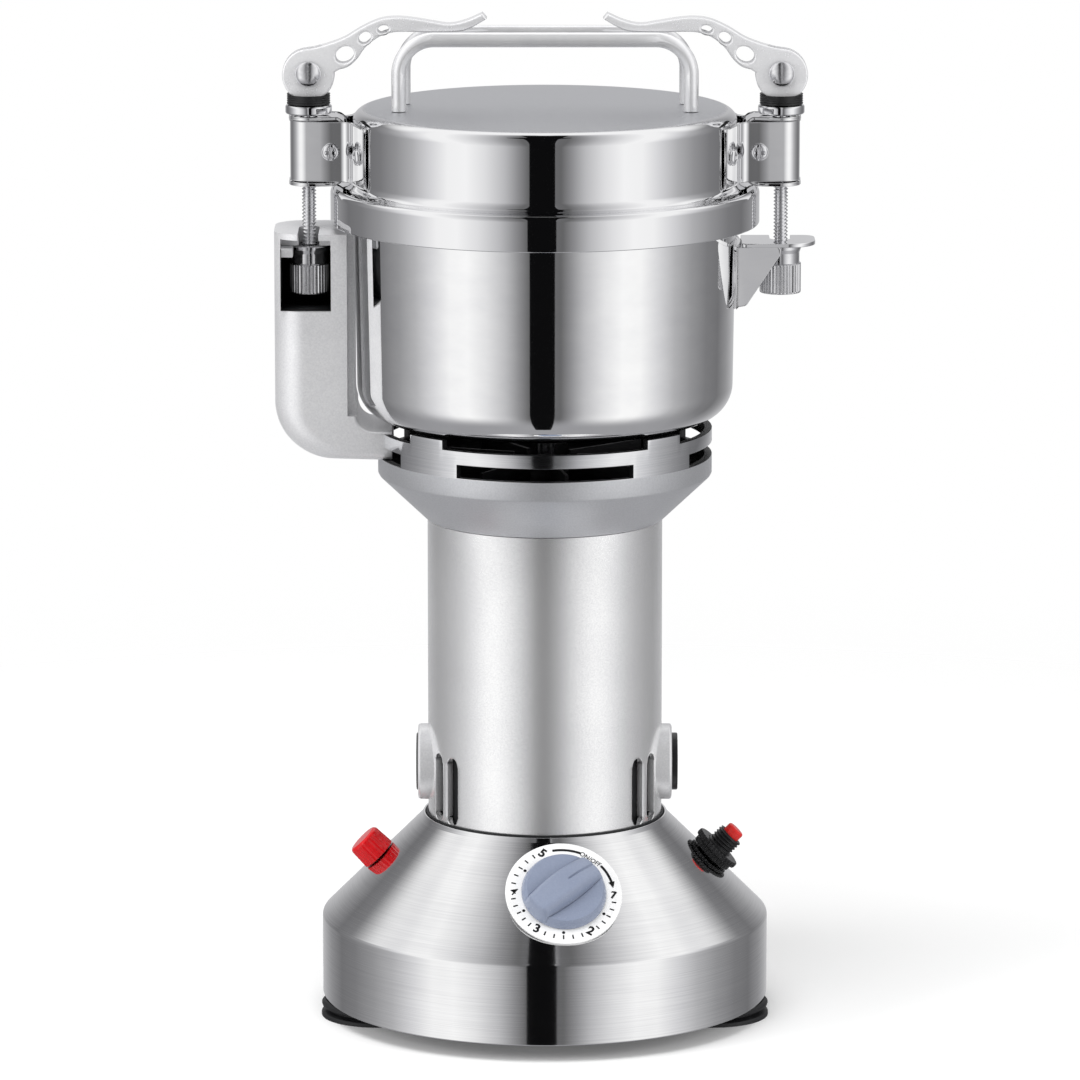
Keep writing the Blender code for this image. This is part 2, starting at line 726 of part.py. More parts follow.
def makeArm():
    """The left-hand casting: a J that rises from the collar and ends in a pocket for the clamp nut."""
    outer = arm_outer_x
    inner = arm_inner_x
    foot_top = arm_bottom + arm_foot_height
    root = collar_radius - 0.006
    outline = filleted([
        (-root, arm_bottom), (-root, foot_top), (-inner + 0.003, foot_top, arm_inner_bend),
        (-inner + 0.003, arm_top), (-outer, arm_top, 0.003), (-outer, arm_bottom, arm_outer_bend),
    ], 8)
    arm = plate("clamp_arm", [outline], 2 * arm_half_depth, castSilver, upright((0, 0, 0)))
    low = arm_bottom - 0.01
    cut(arm, drum("collar_relief", collar_radius + gap, low, bowl_bottom + 0.001, 96))
    cut(arm, drum("bowl_relief", bowl_radius + 0.001, bowl_bottom, arm_top + 0.01, 96))
    step = arm_half_depth - 0.007
    clear = inner + 0.0005
    cut(arm, blocks("cheek_relief", [
        ((-clear, -arm_half_depth - 0.01, foot_top + 0.006), (0, -step, arm_top + 0.01)),
        ((-clear, step, foot_top + 0.006), (0, arm_half_depth + 0.01, arm_top + 0.01)),
    ]))
    pocket_in = clamp_x - nut_radius - nut_slack
    pocket_low = strike_z - arm_pocket_depth
    front = -arm_half_depth - 0.01
    cut(arm, blocks("nut_pocket", [((-outer + arm_wall, front, pocket_low),
        (-pocket_in, arm_pocket_front, strike_z))]))
    cut(arm, blocks("pocket_head", [
        ((-outer + arm_wall + 0.0001, front, strike_z - 0.001),
            (-pocket_in - 0.0001, -0.006, arm_top - 0.0025)),
    ]))
    way_out = asin(arm_half_depth / clamp_x) + 0.05
    sweep = sector(pocket_in, clamp_x + nut_radius + nut_slack, pi, pi + way_out, 10)
    cut(arm, plate("nut_way_out", [sweep], strike_z - pocket_low, None, level((strike_z + pocket_low) / 2)))
    slot = rod_radius + rod_slack
    channel = sector(clamp_x - slot, clamp_x + slot, pi - slot / clamp_x, pi + way_out, 10)
    cut(arm, plate("arm_slot", [channel], 0.02, None, level(strike_z + 0.006)))
    hollow = filleted([
        (-outer + arm_wall, pocket_low - 0.004), (-inner - 0.004, pocket_low - 0.004),
        (-inner - 0.004, foot_top + 0.012), (-outer + arm_wall + 0.004, foot_top + 0.018, 0.010),
    ])
    cut(arm, plate("arm_hollow", [hollow], arm_half_depth, None, upright((0, arm_half_depth + 0.004, 0))))


def makeLid():
    sheet = lid_sheet
    skirt_low = rim_z - lid_skirt_drop
    wall = lid_wall_radius
    profile = filleted([
        (0, lid_top), (wall, lid_top, lid_shoulder), (wall, ledge_z, lid_cove),
        (skirt_radius, ledge_z, 0.0024),
        (skirt_radius, skirt_low), (skirt_radius - sheet, skirt_low),
        (skirt_radius - sheet, ledge_z - sheet, 0.0012), (wall - sheet, ledge_z - sheet, lid_cove + sheet),
        (wall - sheet, lid_top - sheet, lid_shoulder - sheet), (0, lid_top - sheet),
    ], 2)
    turned("lid", profile, fine, polished, None, ring=False)
    turned("lid_gasket", [
        (bowl_radius - 0.001, gasket_bottom + gasket_thickness),
        (flange_radius, gasket_bottom + gasket_thickness),
        (flange_radius, gasket_bottom), (bowl_radius - 0.001, gasket_bottom),
    ], fine, silicone)
    leg = wall - lid_shoulder - handle_inset
    foot = lid_top + gap
    top = lid_top + handle_height
    for name, y, x in (("handle_front", -handle_spread, leg), ("handle_rear", handle_spread, leg - 0.0013)):
        corners = [(-x, foot), (-x, top, handle_bend), (x, top, handle_bend), (x, foot)]
        path = [(u, y, w) for u, w in filleted(corners, 6)]
        bar(name, path, handle_bar_radius, chrome)


def smoothEdge(knots, steps=2):
    """A Catmull-Rom curve through the knots."""
    points = []
    padded = [knots[0]] + knots + [knots[-1]]
    for index in range(1, len(padded) - 2):
        a, b, c, d = (Vector(padded[index + shift]) for shift in (-1, 0, 1, 2))
        for step in range(steps):
            t = step / steps
            spot = 0.5 * (2 * b + (c - a) * t + (2 * a - 5 * b + 4 * c - d) * t * t
                          + (3 * b - a - 3 * c + d) * t ** 3)
            points.append(tuple(spot))
    points.append(tuple(knots[-1]))
    return points


def leverOutlines(side):
    """The cam lever from the side: a round head, then an S-shaped arm with three slanted holes."""
    upper = [(0.0022, 0.0103), (0.0078, 0.0118), (0.0146, 0.0144), (0.0216, 0.0186), (0.0286, 0.0217),
             (0.0350, 0.0226), (0.0420, 0.0221), (0.0500, 0.0208), (0.0568, 0.0199), (0.0634, 0.0213),
             (0.0700, 0.0242)]
    lower = [(0.0717, 0.0221), (0.0650, 0.0183), (0.0600, 0.0169), (0.0500, 0.0166), (0.0400, 0.0169),
             (0.0338, 0.0166), (0.0286, 0.0149), (0.0233, 0.0109), (0.0195, 0.0058), (0.0160, 0.0028),
             (0.0125, 0.0017)]
    # The head turns about a point a little above its centre, which gives the cam its throw.
    rim = arc(lever_radius, radians(6), radians(100 - 360), 16)
    head = [(x, y - lever_throw) for x, y in rim]
    edge = smoothEdge(upper) + smoothEdge(lower) + head
    holes = [((0.0147, 0.0076), 0.0040, 0.0032, 0.61), ((0.0228, 0.0144), 0.0028, 0.0022, 0.70),
             ((0.0302, 0.0179), 0.0023, 0.0016, 0.26)]
    rounds = [ellipse(centre, wide, high, tilt) for centre, wide, high, tilt in holes]
    return [[(-side * x, y) for x, y in outline] for outline in [edge] + rounds]


def makeClamp(side, name):
    """One lever clamp on the lid. Its parts are the same on both sides, mirrored in X."""
    x = side * clamp_x
    turn = Matrix.Rotation(0 if side > 0 else pi, 4, "Z")
    half = clamp_strap_half
    sheet = clamp_sheet
    near = wing_radius
    far = wing_radius + sheet
    end = strap_end_x
    out_turn = asin(half / far)
    in_turn = asin((half - sheet) / near)
    outer = arc(far, wing_half_angle, out_turn, 4)
    nose = filleted([(far, half), (end, half, half * 0.85), (end, -half, half * 0.85), (far, -half)],
        6)[1:-1]
    inside = half - sheet
    hollow = filleted([(near, inside), (end - sheet, inside, inside * 0.85),
                       (end - sheet, -inside, inside * 0.85), (near, -inside)], 6)[1:-1]
    outline = outer + nose + arc(far, -out_turn, -wing_half_angle, 4)
    outline += arc(near, -wing_half_angle, -in_turn, 4) + hollow[::-1] + arc(near, in_turn,
        wing_half_angle, 4)
    strap = plate(f"clamp_strap_{name}", [outline], clamp_strap_height, polished, level(pivot_z) @ turn)
    cove = drum(f"cove_relief_{name}", lid_wall_radius + lid_cove + gap, ledge_z,
        ledge_z + lid_cove + gap, 64)
    cut(strap, cove)
    screw_axis = along((0, 1, 0), (side * pivot_x, 0, pivot_z))
    cut(strap, drum(f"pivot_hole_{name}", pivot_screw_radius + gap, -0.02, 0.02, 12, None, screw_axis))

    back = far + gap
    top = strap_top + gap + sheet
    bottom = strap_bottom - gap - sheet
    ear_end = end
    frame = filleted([
        (ear_end, top), (back, top, 0.006), (back, bottom, 0.006), (ear_end, bottom),
        (ear_end, bottom + sheet), (back + sheet, bottom + sheet, 0.0045),
        (back + sheet, top - sheet, 0.0045),
        (ear_end, top - sheet),
    ], 4)
    bracket = plate(f"clamp_bracket_{name}", [[(side * u, w) for u, w in frame]], 0.03, polished,
        upright((0, 0, 0)))
    neck = half - sheet - gap
    step = pivot_x - 0.001
    wide = half + gap
    plan = filleted([(back - 0.001, neck), (step, neck), (step, wide), (end + 0.00001, wide, 0.0085),
                     (end + 0.00001, -wide, 0.0085), (step, -wide), (step, -neck),
                     (back - 0.001, -neck)], 5)
    cut(bracket, plate(f"bracket_plan_{name}", [plan], 0.06, None, level(pivot_z) @ turn), "INTERSECT")
    upright_axis = Matrix.Translation((x, 0, 0))
    cut(bracket, drum(f"bracket_bore_{name}", rod_radius + running_gap, bottom - 0.01, top + 0.01, 16, None,
                      upright_axis))

    head = half + gap
    turned(f"pivot_screw_{name}", filleted([
        (0, head + 0.0022), (0.00355, head + 0.0022, 0.0015), (0.00355, head), (pivot_screw_radius, head),
        (pivot_screw_radius, -head), (0.0030, -head), (0.0030, -head - 0.0012), (0, -head - 0.0012),
    ], 3), coarse, chrome, along((0, -1, 0), (side * pivot_x, 0, pivot_z)), ring=False)

    bore = rod_radius + running_gap
    drum(f"clamp_washer_{name}", washer_radius, washer_bottom, washer_bottom + washer_height, 24, chrome,
         upright_axis, bore=bore)
    saddle = drum(f"lever_saddle_{name}", saddle_radius, saddle_bottom, saddle_bottom + saddle_height, 20,
                  blackPlastic, upright_axis, bore=bore)
    trough = lever_radius + 0.0013
    across = along((0, 1, 0), (x, 0, saddle_bottom + saddle_floor + trough))
    cut(saddle, drum(f"saddle_trough_{name}", trough, -0.02, 0.02, 48, None, across))

    tip = nut_top - nut_height + 0.002
    pivot = along((0, 1, 0), (x, 0, lever_z))
    rod = drum(f"clamp_rod_{name}", rod_radius, tip, lever_z - 0.002, 12, chrome, upright_axis)
    eye = lever_slot / 2 - gap
    cut(rod, drum(f"rod_eye_{name}", 0.0042, -eye, eye, 16, None, pivot), "UNION")
    cut(rod, blocks(f"rod_flats_{name}", [
        ((-0.01, eye, lever_z - 0.0125), (0.01, 0.01, lever_z + 0.02)),
        ((-0.01, -0.01, lever_z - 0.0125), (0.01, -eye, lever_z + 0.02)),
    ], upright_axis))
    cut(rod, drum(f"rod_eye_bore_{name}", lever_pin_radius + gap, -0.02, 0.02, 16, None, pivot))
    grip = nut_top - 0.0075
    around = rod_radius + gap
    turned(f"clamp_nut_{name}", [
        (around, nut_top), (nut_radius, nut_top), (nut_radius, nut_top - 0.0012),
        (nut_radius - 0.0006, nut_top - 0.0028), (nut_radius - 0.0006, grip), (nut_radius, grip),
        (nut_radius, nut_top - nut_height), (around, nut_top - nut_height),
    ], 20, chrome, upright_axis)

    lever = plate(f"clamp_lever_{name}", leverOutlines(side), lever_thickness, brushed,
        upright((x, 0, lever_z)))
    reach = lever_radius + 0.003
    fork = blocks(f"lever_fork_{name}", [
        ((min(-side * 0.0055, side * reach), -lever_slot / 2, -reach),
         (max(-side * 0.0055, side * reach), lever_slot / 2, reach)),
    ], Matrix.Translation((x, 0, lever_z)))
    cut(lever, fork)
    cut(lever, drum(f"lever_bore_{name}", lever_pin_radius + gap, -0.02, 0.02, 16, None, pivot))
    cheek = lever_thickness / 2 + gap
    dome = [(0.0053 * sin(radians(30 * n)),
        cheek + 0.0004 + 0.0026 * cos(radians(30 * n))) for n in range(4)]
    turned(f"lever_pin_{name}", dome + [
        (0.0053, cheek), (lever_pin_radius, cheek), (lever_pin_radius, -cheek), (0.0045, -cheek),
        (0.0045, -cheek - 0.0016), (0, -cheek - 0.0016),
    ], coarse, chrome, along((0, -1, 0), (x, 0, lever_z)), ring=False)


for old in list(bpy.data.objects):
    bpy.data.objects.remove(old)
model = newCollection("hammer_mill")
cutters = newCollection("cutters")
makeBase(makeFeet())
makeDial()
makeLampAndReset()
shaftBottom = makeMotor(makeHousing())
makeCollar()
makeBowl()
makeBlades(shaftBottom)
makeStrike()
makeArm()
makeLid()
makeClamp(-1, "left")
makeClamp(1, "right")
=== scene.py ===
from math import cos, pi, radians, sin, sqrt

import bmesh
import bpy
import numpy as np
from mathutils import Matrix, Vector


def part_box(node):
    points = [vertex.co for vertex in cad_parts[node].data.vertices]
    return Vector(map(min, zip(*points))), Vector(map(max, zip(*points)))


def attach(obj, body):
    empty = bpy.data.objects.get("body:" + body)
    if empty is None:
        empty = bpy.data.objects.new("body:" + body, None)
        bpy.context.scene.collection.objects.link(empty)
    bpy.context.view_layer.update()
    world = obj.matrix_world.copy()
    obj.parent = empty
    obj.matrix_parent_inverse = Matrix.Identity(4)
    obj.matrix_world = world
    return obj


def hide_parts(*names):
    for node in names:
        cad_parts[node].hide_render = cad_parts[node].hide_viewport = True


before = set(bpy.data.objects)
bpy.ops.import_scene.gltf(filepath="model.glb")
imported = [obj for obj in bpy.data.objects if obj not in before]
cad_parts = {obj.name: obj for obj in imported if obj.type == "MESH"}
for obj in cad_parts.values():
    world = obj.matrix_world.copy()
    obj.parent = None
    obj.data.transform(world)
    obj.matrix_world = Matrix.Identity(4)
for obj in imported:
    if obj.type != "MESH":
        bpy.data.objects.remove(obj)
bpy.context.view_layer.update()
mm = 0.001


# Nodes and colours

# sRGB to linear: c / 12.92 up to 0.04045, ((c + 0.055) / 1.055) ^ 2.4 above it.
def linear(hexColour):
    values = np.array([int(hexColour[i:i + 2], 16) for i in (0, 2, 4)]) / 255
    curved = np.where(values <= 0.04045, values / 12.92, ((values + 0.055) / 1.055) ** 2.4)
    return (*(float(v) for v in curved), 1.0)


smoothStep, colourMix = {"interpolation_type": "SMOOTHSTEP"}, {"data_type": "RGBA"}


# Settings go on the node; an input is a value or a (node, output) link, named or numbered i0, i1...
def add(tree, kind, settings=None, **inputs):
    made = tree.nodes.new("ShaderNode" + kind)
    for key, value in (settings or {}).items():
        setattr(made, key, value)
    for key, value in inputs.items():
        socket = made.inputs[int(key[1:])] if key[1:].isdigit() else made.inputs[key.replace("_", " ")]
        if isinstance(value, tuple) and isinstance(value[0], bpy.types.Node):
            tree.links.new(value[0].outputs[value[1]], socket)
        else:
            socket.default_value = value
    return made


def blankMaterial(name):
    made = bpy.data.materials.new(name)
    made.use_nodes = True
    made.node_tree.nodes.clear()
    return made, made.node_tree


def link(name, data):
    holder = bpy.data.objects.new(name, data)
    bpy.context.scene.collection.objects.link(holder)
    return holder


# Faces of a grid of points, row by row, with either way closed on itself.
def quads(rows, columns, rowsClose=False, columnsClose=True):
    r = np.arange(rows if rowsClose else rows - 1)[:, None]
    c = np.arange(columns if columnsClose else columns - 1)[None]
    r1, c1 = (r + 1) % rows, (c + 1) % columns
    corners = np.broadcast_arrays(r * columns + c, r * columns + c1, r1 * columns + c1, r1 * columns + c)
    return np.stack(corners, -1).reshape(-1, 4)


# Camera

camera = {"place": (-0.002, -2.8, 0.745), "aim": (-0.002, 0.0, 0.195), "lens": 233.8, "sensor": 36}


def makeCamera():
    lens = bpy.data.cameras.new("camera")
    lens.lens = camera["lens"]
    lens.sensor_width = camera["sensor"]
    holder = link("camera", lens)
    place, aim = Vector(camera["place"]), Vector(camera["aim"])
    holder.location = place
    holder.rotation_euler = (aim - place).to_track_quat("-Z", "Y").to_euler()
    bpy.context.scene.camera = holder


makeCamera()
bpy.context.scene.view_settings.view_transform = "Standard"
print("camera is set")


# Light and floor

studio = {
    # What polished metal mirrors, by the angle in degrees from the front of the room to its back.
    "mirrored": ((0, "BCBCBE"), (3.5, "B0B0B2"), (5, "6C6C6E"), (9.5, "686869"), (16, "949496"), (24, "C2C2C4"),
                 (36, "E9E9EA"), (48, "FFFFFF"), (60, "FCFCFC"), (72, "DEDEE0"), (86, "B6B6B8"),
                 (100, "98989A"), (116, "7E7E80"), (131, "747476"), (146, "929294"), (162, "B4B4B6"),
                 (180, "CCCCCE")),
    # A black flag stands in front of the mill and bends back over it, for the dark line down its middle.
    # Its sides stand at these distances, left and right, by how far forward the cloth is.
    "flag": {"front": -0.52, "low": -0.75, "high": 0.42, "over": 0.80, "back": 0.02,
             "sides": ((-0.26, 0.078, 0.050), (-0.24, 0.080, 0.054), (-0.19, 0.129, 0.089),
                       (-0.165, 0.129, 0.089), (-0.15, 0.0545, 0.0545))},
    "lean": 0.7,  # how far the room's bands lean forward as they rise
    "behind": (0.10, 0.45), "above": (0.45, 0.72), "ceiling": "FFFFFF",
    "below": (-0.40, -0.85), "ground": "9D9DA0",
    "ambient": 0.62,
    "floorRadius": (0.35, 0.9), "paper": "F4F4F4", "lift": 0.10,
    # Each lamp's place, aim, size and power.
    "lamps": {"topLamp": ((-0.3, -0.5, 1.7), (0, 0, 0.15), 1.1, 14),
              "leftLamp": ((-1.5, -0.7, 0.7), (0, 0, 0.2), 0.8, 11),
              "rightLamp": ((1.5, -0.7, 0.7), (0, 0, 0.2), 0.8, 9)},
}


def makeWorld():
    world = bpy.data.worlds.new("studio")
    bpy.context.scene.world = world
    world.use_nodes = True
    world.cycles.sampling_method = "NONE"
    tree = world.node_tree
    tree.nodes.clear()
    way = add(tree, "TexCoord")
    axes = add(tree, "SeparateXYZ", Vector=(way, "Generated"))
    side = add(tree, "Math", {"operation": "ABSOLUTE"}, i0=(axes, "X"))
    rise = add(tree, "Math", {"operation": "MAXIMUM"}, i0=(axes, "Z"), i1=0.0)
    front = add(tree, "Math", {"operation": "MULTIPLY_ADD"}, i0=(rise, 0), i1=studio["lean"], i2=0.0)
    front = add(tree, "Math", {"operation": "SUBTRACT"}, i0=(front, 0), i1=(axes, "Y"))
    turn = add(tree, "Math", {"operation": "ARCTAN2"}, i0=(side, 0), i1=(front, 0))
    share = add(tree, "Math", {"operation": "DIVIDE"}, i0=(turn, 0), i1=pi)
    ramp = add(tree, "ValToRGB", i0=(share, 0))
    stops = ramp.color_ramp.elements
    for number, (angle, colour) in enumerate(studio["mirrored"]):
        stop = stops[number] if number < 2 else stops.new(angle / 180)
        stop.position = angle / 180
        stop.color = linear(colour)
    low, high = studio["behind"]
    behind = add(tree, "MapRange", smoothStep, Value=(axes, "Y"), From_Min=low, From_Max=high)
    low, high = studio["above"]
    above = add(tree, "MapRange", smoothStep, Value=(axes, "Z"), From_Min=low, From_Max=high)
    overhead = add(tree, "Math", {"operation": "MULTIPLY"}, i0=(behind, 0), i1=(above, 0))
    lit = add(tree, "Mix", colourMix, i0=(overhead, 0), i6=(ramp, "Color"), i7=linear(studio["ceiling"]))
    high, low = studio["below"]
    below = add(tree, "MapRange", smoothStep, Value=(axes, "Z"), From_Min=high, From_Max=low)
    mirrored = add(tree, "Mix", colourMix, i0=(below, 0), i6=(lit, 2), i7=linear(studio["ground"]))
    ray = add(tree, "LightPath")
    bent = add(tree, "Math", {"operation": "MAXIMUM"}, i0=(ray, "Is Glossy Ray"),
               i1=(ray, "Is Transmission Ray"))
    level = studio["ambient"]
    seen = add(tree, "Mix", colourMix, i0=(bent, 0), i6=(level, level, level, 1), i7=(mirrored, 2))
    shown = add(tree, "Mix", colourMix, i0=(ray, "Is Camera Ray"), i6=(seen, 2), i7=(1, 1, 1, 1))
    light = add(tree, "Background", Color=(shown, 2), Strength=1.0)
    add(tree, "OutputWorld", Surface=(light, 0))


def makeLamp(name, place, aim, size, power):
    light = bpy.data.lights.new(name, "AREA")
    light.shape = "DISK"
    light.size = size
    light.energy = power
    holder = link(name, light)
    holder.location = place
    holder.rotation_euler = (Vector(aim) - Vector(place)).to_track_quat("-Z", "Y").to_euler()
    holder.visible_glossy = False
    holder.visible_camera = False


def makeFloor():
    near, far = studio["floorRadius"]
    turns = np.linspace(0, 2 * pi, 96, endpoint=False)
    points = np.stack([far * np.cos(turns), far * np.sin(turns), 0 * turns], 1)
    mesh = bpy.data.meshes.new("floor")
    mesh.from_pydata(points.tolist(), [], [list(range(96))])
    floor = link("floor", mesh)
    paint, tree = blankMaterial("white paper")
    where = add(tree, "TexCoord")
    away = add(tree, "VectorMath", {"operation": "LENGTH"}, i0=(where, "Object"))
    fade = add(tree, "MapRange", smoothStep, Value=(away, "Value"), From_Min=near, From_Max=far)
    ray = add(tree, "LightPath")
    gone = add(tree, "Math", {"operation": "MAXIMUM"}, i0=(fade, 0), i1=(ray, "Is Glossy Ray"))
    matte = add(tree, "BsdfDiffuse", Color=linear(studio["paper"]))
    glow = add(tree, "Emission", Color=(1, 1, 1, 1), Strength=studio["lift"])
    lift = add(tree, "AddShader", i0=(matte, 0), i1=(glow, 0))
    clear = add(tree, "BsdfTransparent")
    both = add(tree, "MixShader", i0=(gone, 0), i1=(lift, 0), i2=(clear, 0))
    add(tree, "OutputMaterial", Surface=(both, 0))
    mesh.materials.append(paint)


# Only mirrored light meets the flag: no camera ray, shadow or diffuse light does.
def makeFlag():
    flag = studio["flag"]
    bend = flag["over"] - flag["high"]
    turn = np.linspace(0, pi / 2, 60)
    curve = np.stack([flag["front"] + bend * (1 - np.cos(turn)), flag["high"] + bend * np.sin(turn)], 1)
    path = np.concatenate([[(flag["front"], flag["low"])], curve, [(flag["back"], flag["over"])]])
    forward, left, right = np.array(flag["sides"]).T
    points = np.concatenate([np.insert(path, 0, -np.interp(path[:, 0], forward, left), 1),
                             np.insert(path, 0, np.interp(path[:, 0], forward, right), 1)])
    mesh = bpy.data.meshes.new("flag")
    mesh.from_pydata(points.tolist(), [], quads(2, len(path), columnsClose=False).tolist())
    holder = link("flag", mesh)
    paint, tree = blankMaterial("black cloth")
    dark = add(tree, "Emission", Color=linear("0D0D0E"), Strength=1.0)
    add(tree, "OutputMaterial", Surface=(dark, 0))
    mesh.materials.append(paint)
    for way in ("camera", "diffuse", "transmission", "volume_scatter", "shadow"):
        setattr(holder, "visible_" + way, False)


makeWorld()
makeFlag()
for name, lamp in studio["lamps"].items():
    makeLamp(name, *lamp)
makeFloor()
print("light and floor are set")


# Finishes. Each row: colour, its other shade, metallic, least and most roughness, the size of one grain in
# millimetres along X, Y and Z, and the strength and the depth in millimetres of its relief.

finishes = {
    # Deep drawn stainless sheet, buffed: a near mirror with the faintest haze.
    "buffed stainless": ("FAFAFA", "F2F2F3", 1.0, (0.03, 0.05), (18, 18, 9), 0.02, 0.01),
    # Stainless sheet brushed round the body: fine level lines that smear light up and down.
    "brushed stainless": ("FAFAFA", "E9E9EA", 1.0, (0.04, 0.09), (45, 45, 0.35), 0.10, 0.02),
    # Die-cast aluminium under silver powder coat: an even sparkle about half a millimetre across.
    "silver powder coat": ("FCFCFC", "F0F0F1", 0.78, (0.20, 0.27), (0.7, 0.7, 0.7), 0.12, 0.05),
    # The same coat on the arm, thicker and paler.
    "pale powder coat": ("F0F0F1", "DEDEE0", 0.45, (0.28, 0.36), (0.7, 0.7, 0.7), 0.14, 0.05),
    # The collar's casting under its coat, shot-blasted: grey and soft, it mirrors nothing sharply.
    "blasted aluminium": ("DCDDE0", "D0D1D4", 0.8, (0.36, 0.44), (0.7, 0.7, 0.7), 0.12, 0.05),
    # The same casting with its band turned bright in a lathe.
    "turned aluminium": ("F1F1F2", "E0E1E3", 1.0, (0.08, 0.13), (30, 30, 0.3), 0.15, 0.02),
    # Bright nickel-chrome plate.
    "bright chrome": ("F5F5F6", "ECECEE", 1.0, (0.03, 0.06), (6, 6, 6), 0.02, 0.01),
    # Tumbled stainless: nearly white, with a fine even haze.
    "tumbled stainless": ("F6F6F7", "EBEBED", 0.4, (0.20, 0.28), (0.8, 0.8, 0.8), 0.05, 0.02),
    # Laminated and pressed steel inside the motor, with a light oxide.
    "oxided steel": ("4A4A4C", "38383A", 0.9, (0.45, 0.6), (8, 8, 0.6), 0.2, 0.05),
    # Ground bearing and shaft steel.
    "ground steel": ("D6D7DA", "C2C3C6", 1.0, (0.15, 0.25), (12, 12, 0.4), 0.1, 0.02),
    # Enamelled copper wire.
    "enamelled copper": ("B8734D", "8F5434", 1.0, (0.3, 0.4), (12, 12, 0.6), 0.3, 0.1),
    # Moulded nitrile rubber: dull black with a grey bloom.
    "black rubber": ("141415", "1E1E20", 0.0, (0.42, 0.6), (2.5, 2.5, 2.5), 0.15, 0.05),
    # Moulded black phenolic: a little gloss on its edges.
    "black phenolic": ("121213", "1A1A1C", 0.0, (0.26, 0.38), (1.2, 1.2, 1.2), 0.1, 0.03),
    # Moulded ABS in grey blue, with spark-eroded texture too fine to see but for its sheen.
    "grey blue plastic": ("8992A6", "828BA0", 0.0, (0.20, 0.28), (0.9, 0.9, 0.9), 0.06, 0.03),
    # White ABS disc.
    "white plastic": ("F4F4F4", "EFEFEF", 0.0, (0.25, 0.35), (1.5, 1.5, 1.5), 0.03, 0.02),
    # Pad-printed black ink.
    "printing ink": ("0D0D0E", "151516", 0.0, (0.4, 0.5), (0.4, 0.4, 0.4), 0.03, 0.01),
    # Red push button, opaque glossy nylon.
    "red nylon": ("E0251F", "C81B18", 0.0, (0.24, 0.34), (0.8, 0.8, 0.8), 0.05, 0.02),
    # Matt black: the column's seat seal, and painted shade inside the column, inside the vent collar and in the
    # arm's pocket.
    "matt black and painted shade": ("1B1C1E", "121314", 0.0, (0.4, 0.5), (1.5, 1.5, 1.5), 0.05, 0.02),
    # Translucent red polycarbonate over a lamp that is off; its ribs hold the highlights.
    "red lamp": ("DC0C16", "C80A12", 0.0, (0.10, 0.18), (3, 3, 3), 0.02, 0.01),
    # Bright bar: chrome over a satin ground, which stays pale where it mirrors dark things.
    "bright bar": ("F6F6F7", "EDEDEF", 0.5, (0.05, 0.09), (6, 6, 6), 0.02, 0.01),
    # Nickel plate, a little softer than chrome.
    "bright nickel": ("F0F0F1", "E4E4E6", 1.0, (0.10, 0.16), (3, 3, 3), 0.03, 0.01),
    # Tumbled nickel on the rivets.
    "satin nickel": ("F4F4F5", "E6E6E8", 1.0, (0.18, 0.24), (1.5, 1.5, 1.5), 0.04, 0.02),
    # Moulded silicone ring.
    "silicone": ("CFCFCA", "C4C4BF", 0.0, (0.45, 0.55), (2, 2, 2), 0.05, 0.03),
}


def makeFinish(name, colour, shade, metallic, roughness, grainSize, bump, depth):
    made, tree = blankMaterial(name)
    where = add(tree, "TexCoord")
    place = add(tree, "Mapping", Vector=(where, "Object"), Scale=tuple(1 / (size * mm) for size in grainSize))
    grain = add(tree, "TexNoise", Vector=(place, 0), Scale=1.0, Detail=3.0, Roughness=0.6)
    clouds = add(tree, "TexNoise", Vector=(where, "Object"), Scale=1 / (35 * mm), Detail=2.0)
    blend = add(tree, "Math", {"operation": "MULTIPLY_ADD"}, i0=(clouds, 0), i1=0.4, i2=0.0)
    blend = add(tree, "Math", {"operation": "MULTIPLY_ADD"}, i0=(grain, 0), i1=0.6, i2=(blend, 0))
    low, high = 0.36, 0.64  # nearly all of the noise lies between these
    mix = add(tree, "MapRange", Value=(blend, 0), From_Min=low, From_Max=high)
    tint = add(tree, "Mix", colourMix, i0=(mix, 0), i6=linear(colour), i7=linear(shade))
    rough = add(tree, "MapRange", Value=(blend, 0), From_Min=low, From_Max=high, To_Min=roughness[0],
                To_Max=roughness[1])
    relief = add(tree, "Bump", Strength=bump, Distance=depth * mm, Height=(grain, 0))
    shader = add(tree, "BsdfPrincipled", Base_Color=(tint, 2), Metallic=metallic, Roughness=(rough, 0),
                 Normal=(relief, 0))
    add(tree, "OutputMaterial", Surface=(shader, 0))
    return made


materials = {name: makeFinish(name, *row) for name, row in finishes.items()}


# The lid's wall is buffed and its flat top left satin: they meet between two radii, above a height.
lidLook = {"wall": "F2F2F3", "wallRoughness": 0.035, "top": "D4D5D8", "topRoughness": (0.36, 0.46),
           "radii": (74.5, 72.0), "heights": (371.0, 371.8), "grain": 0.5}


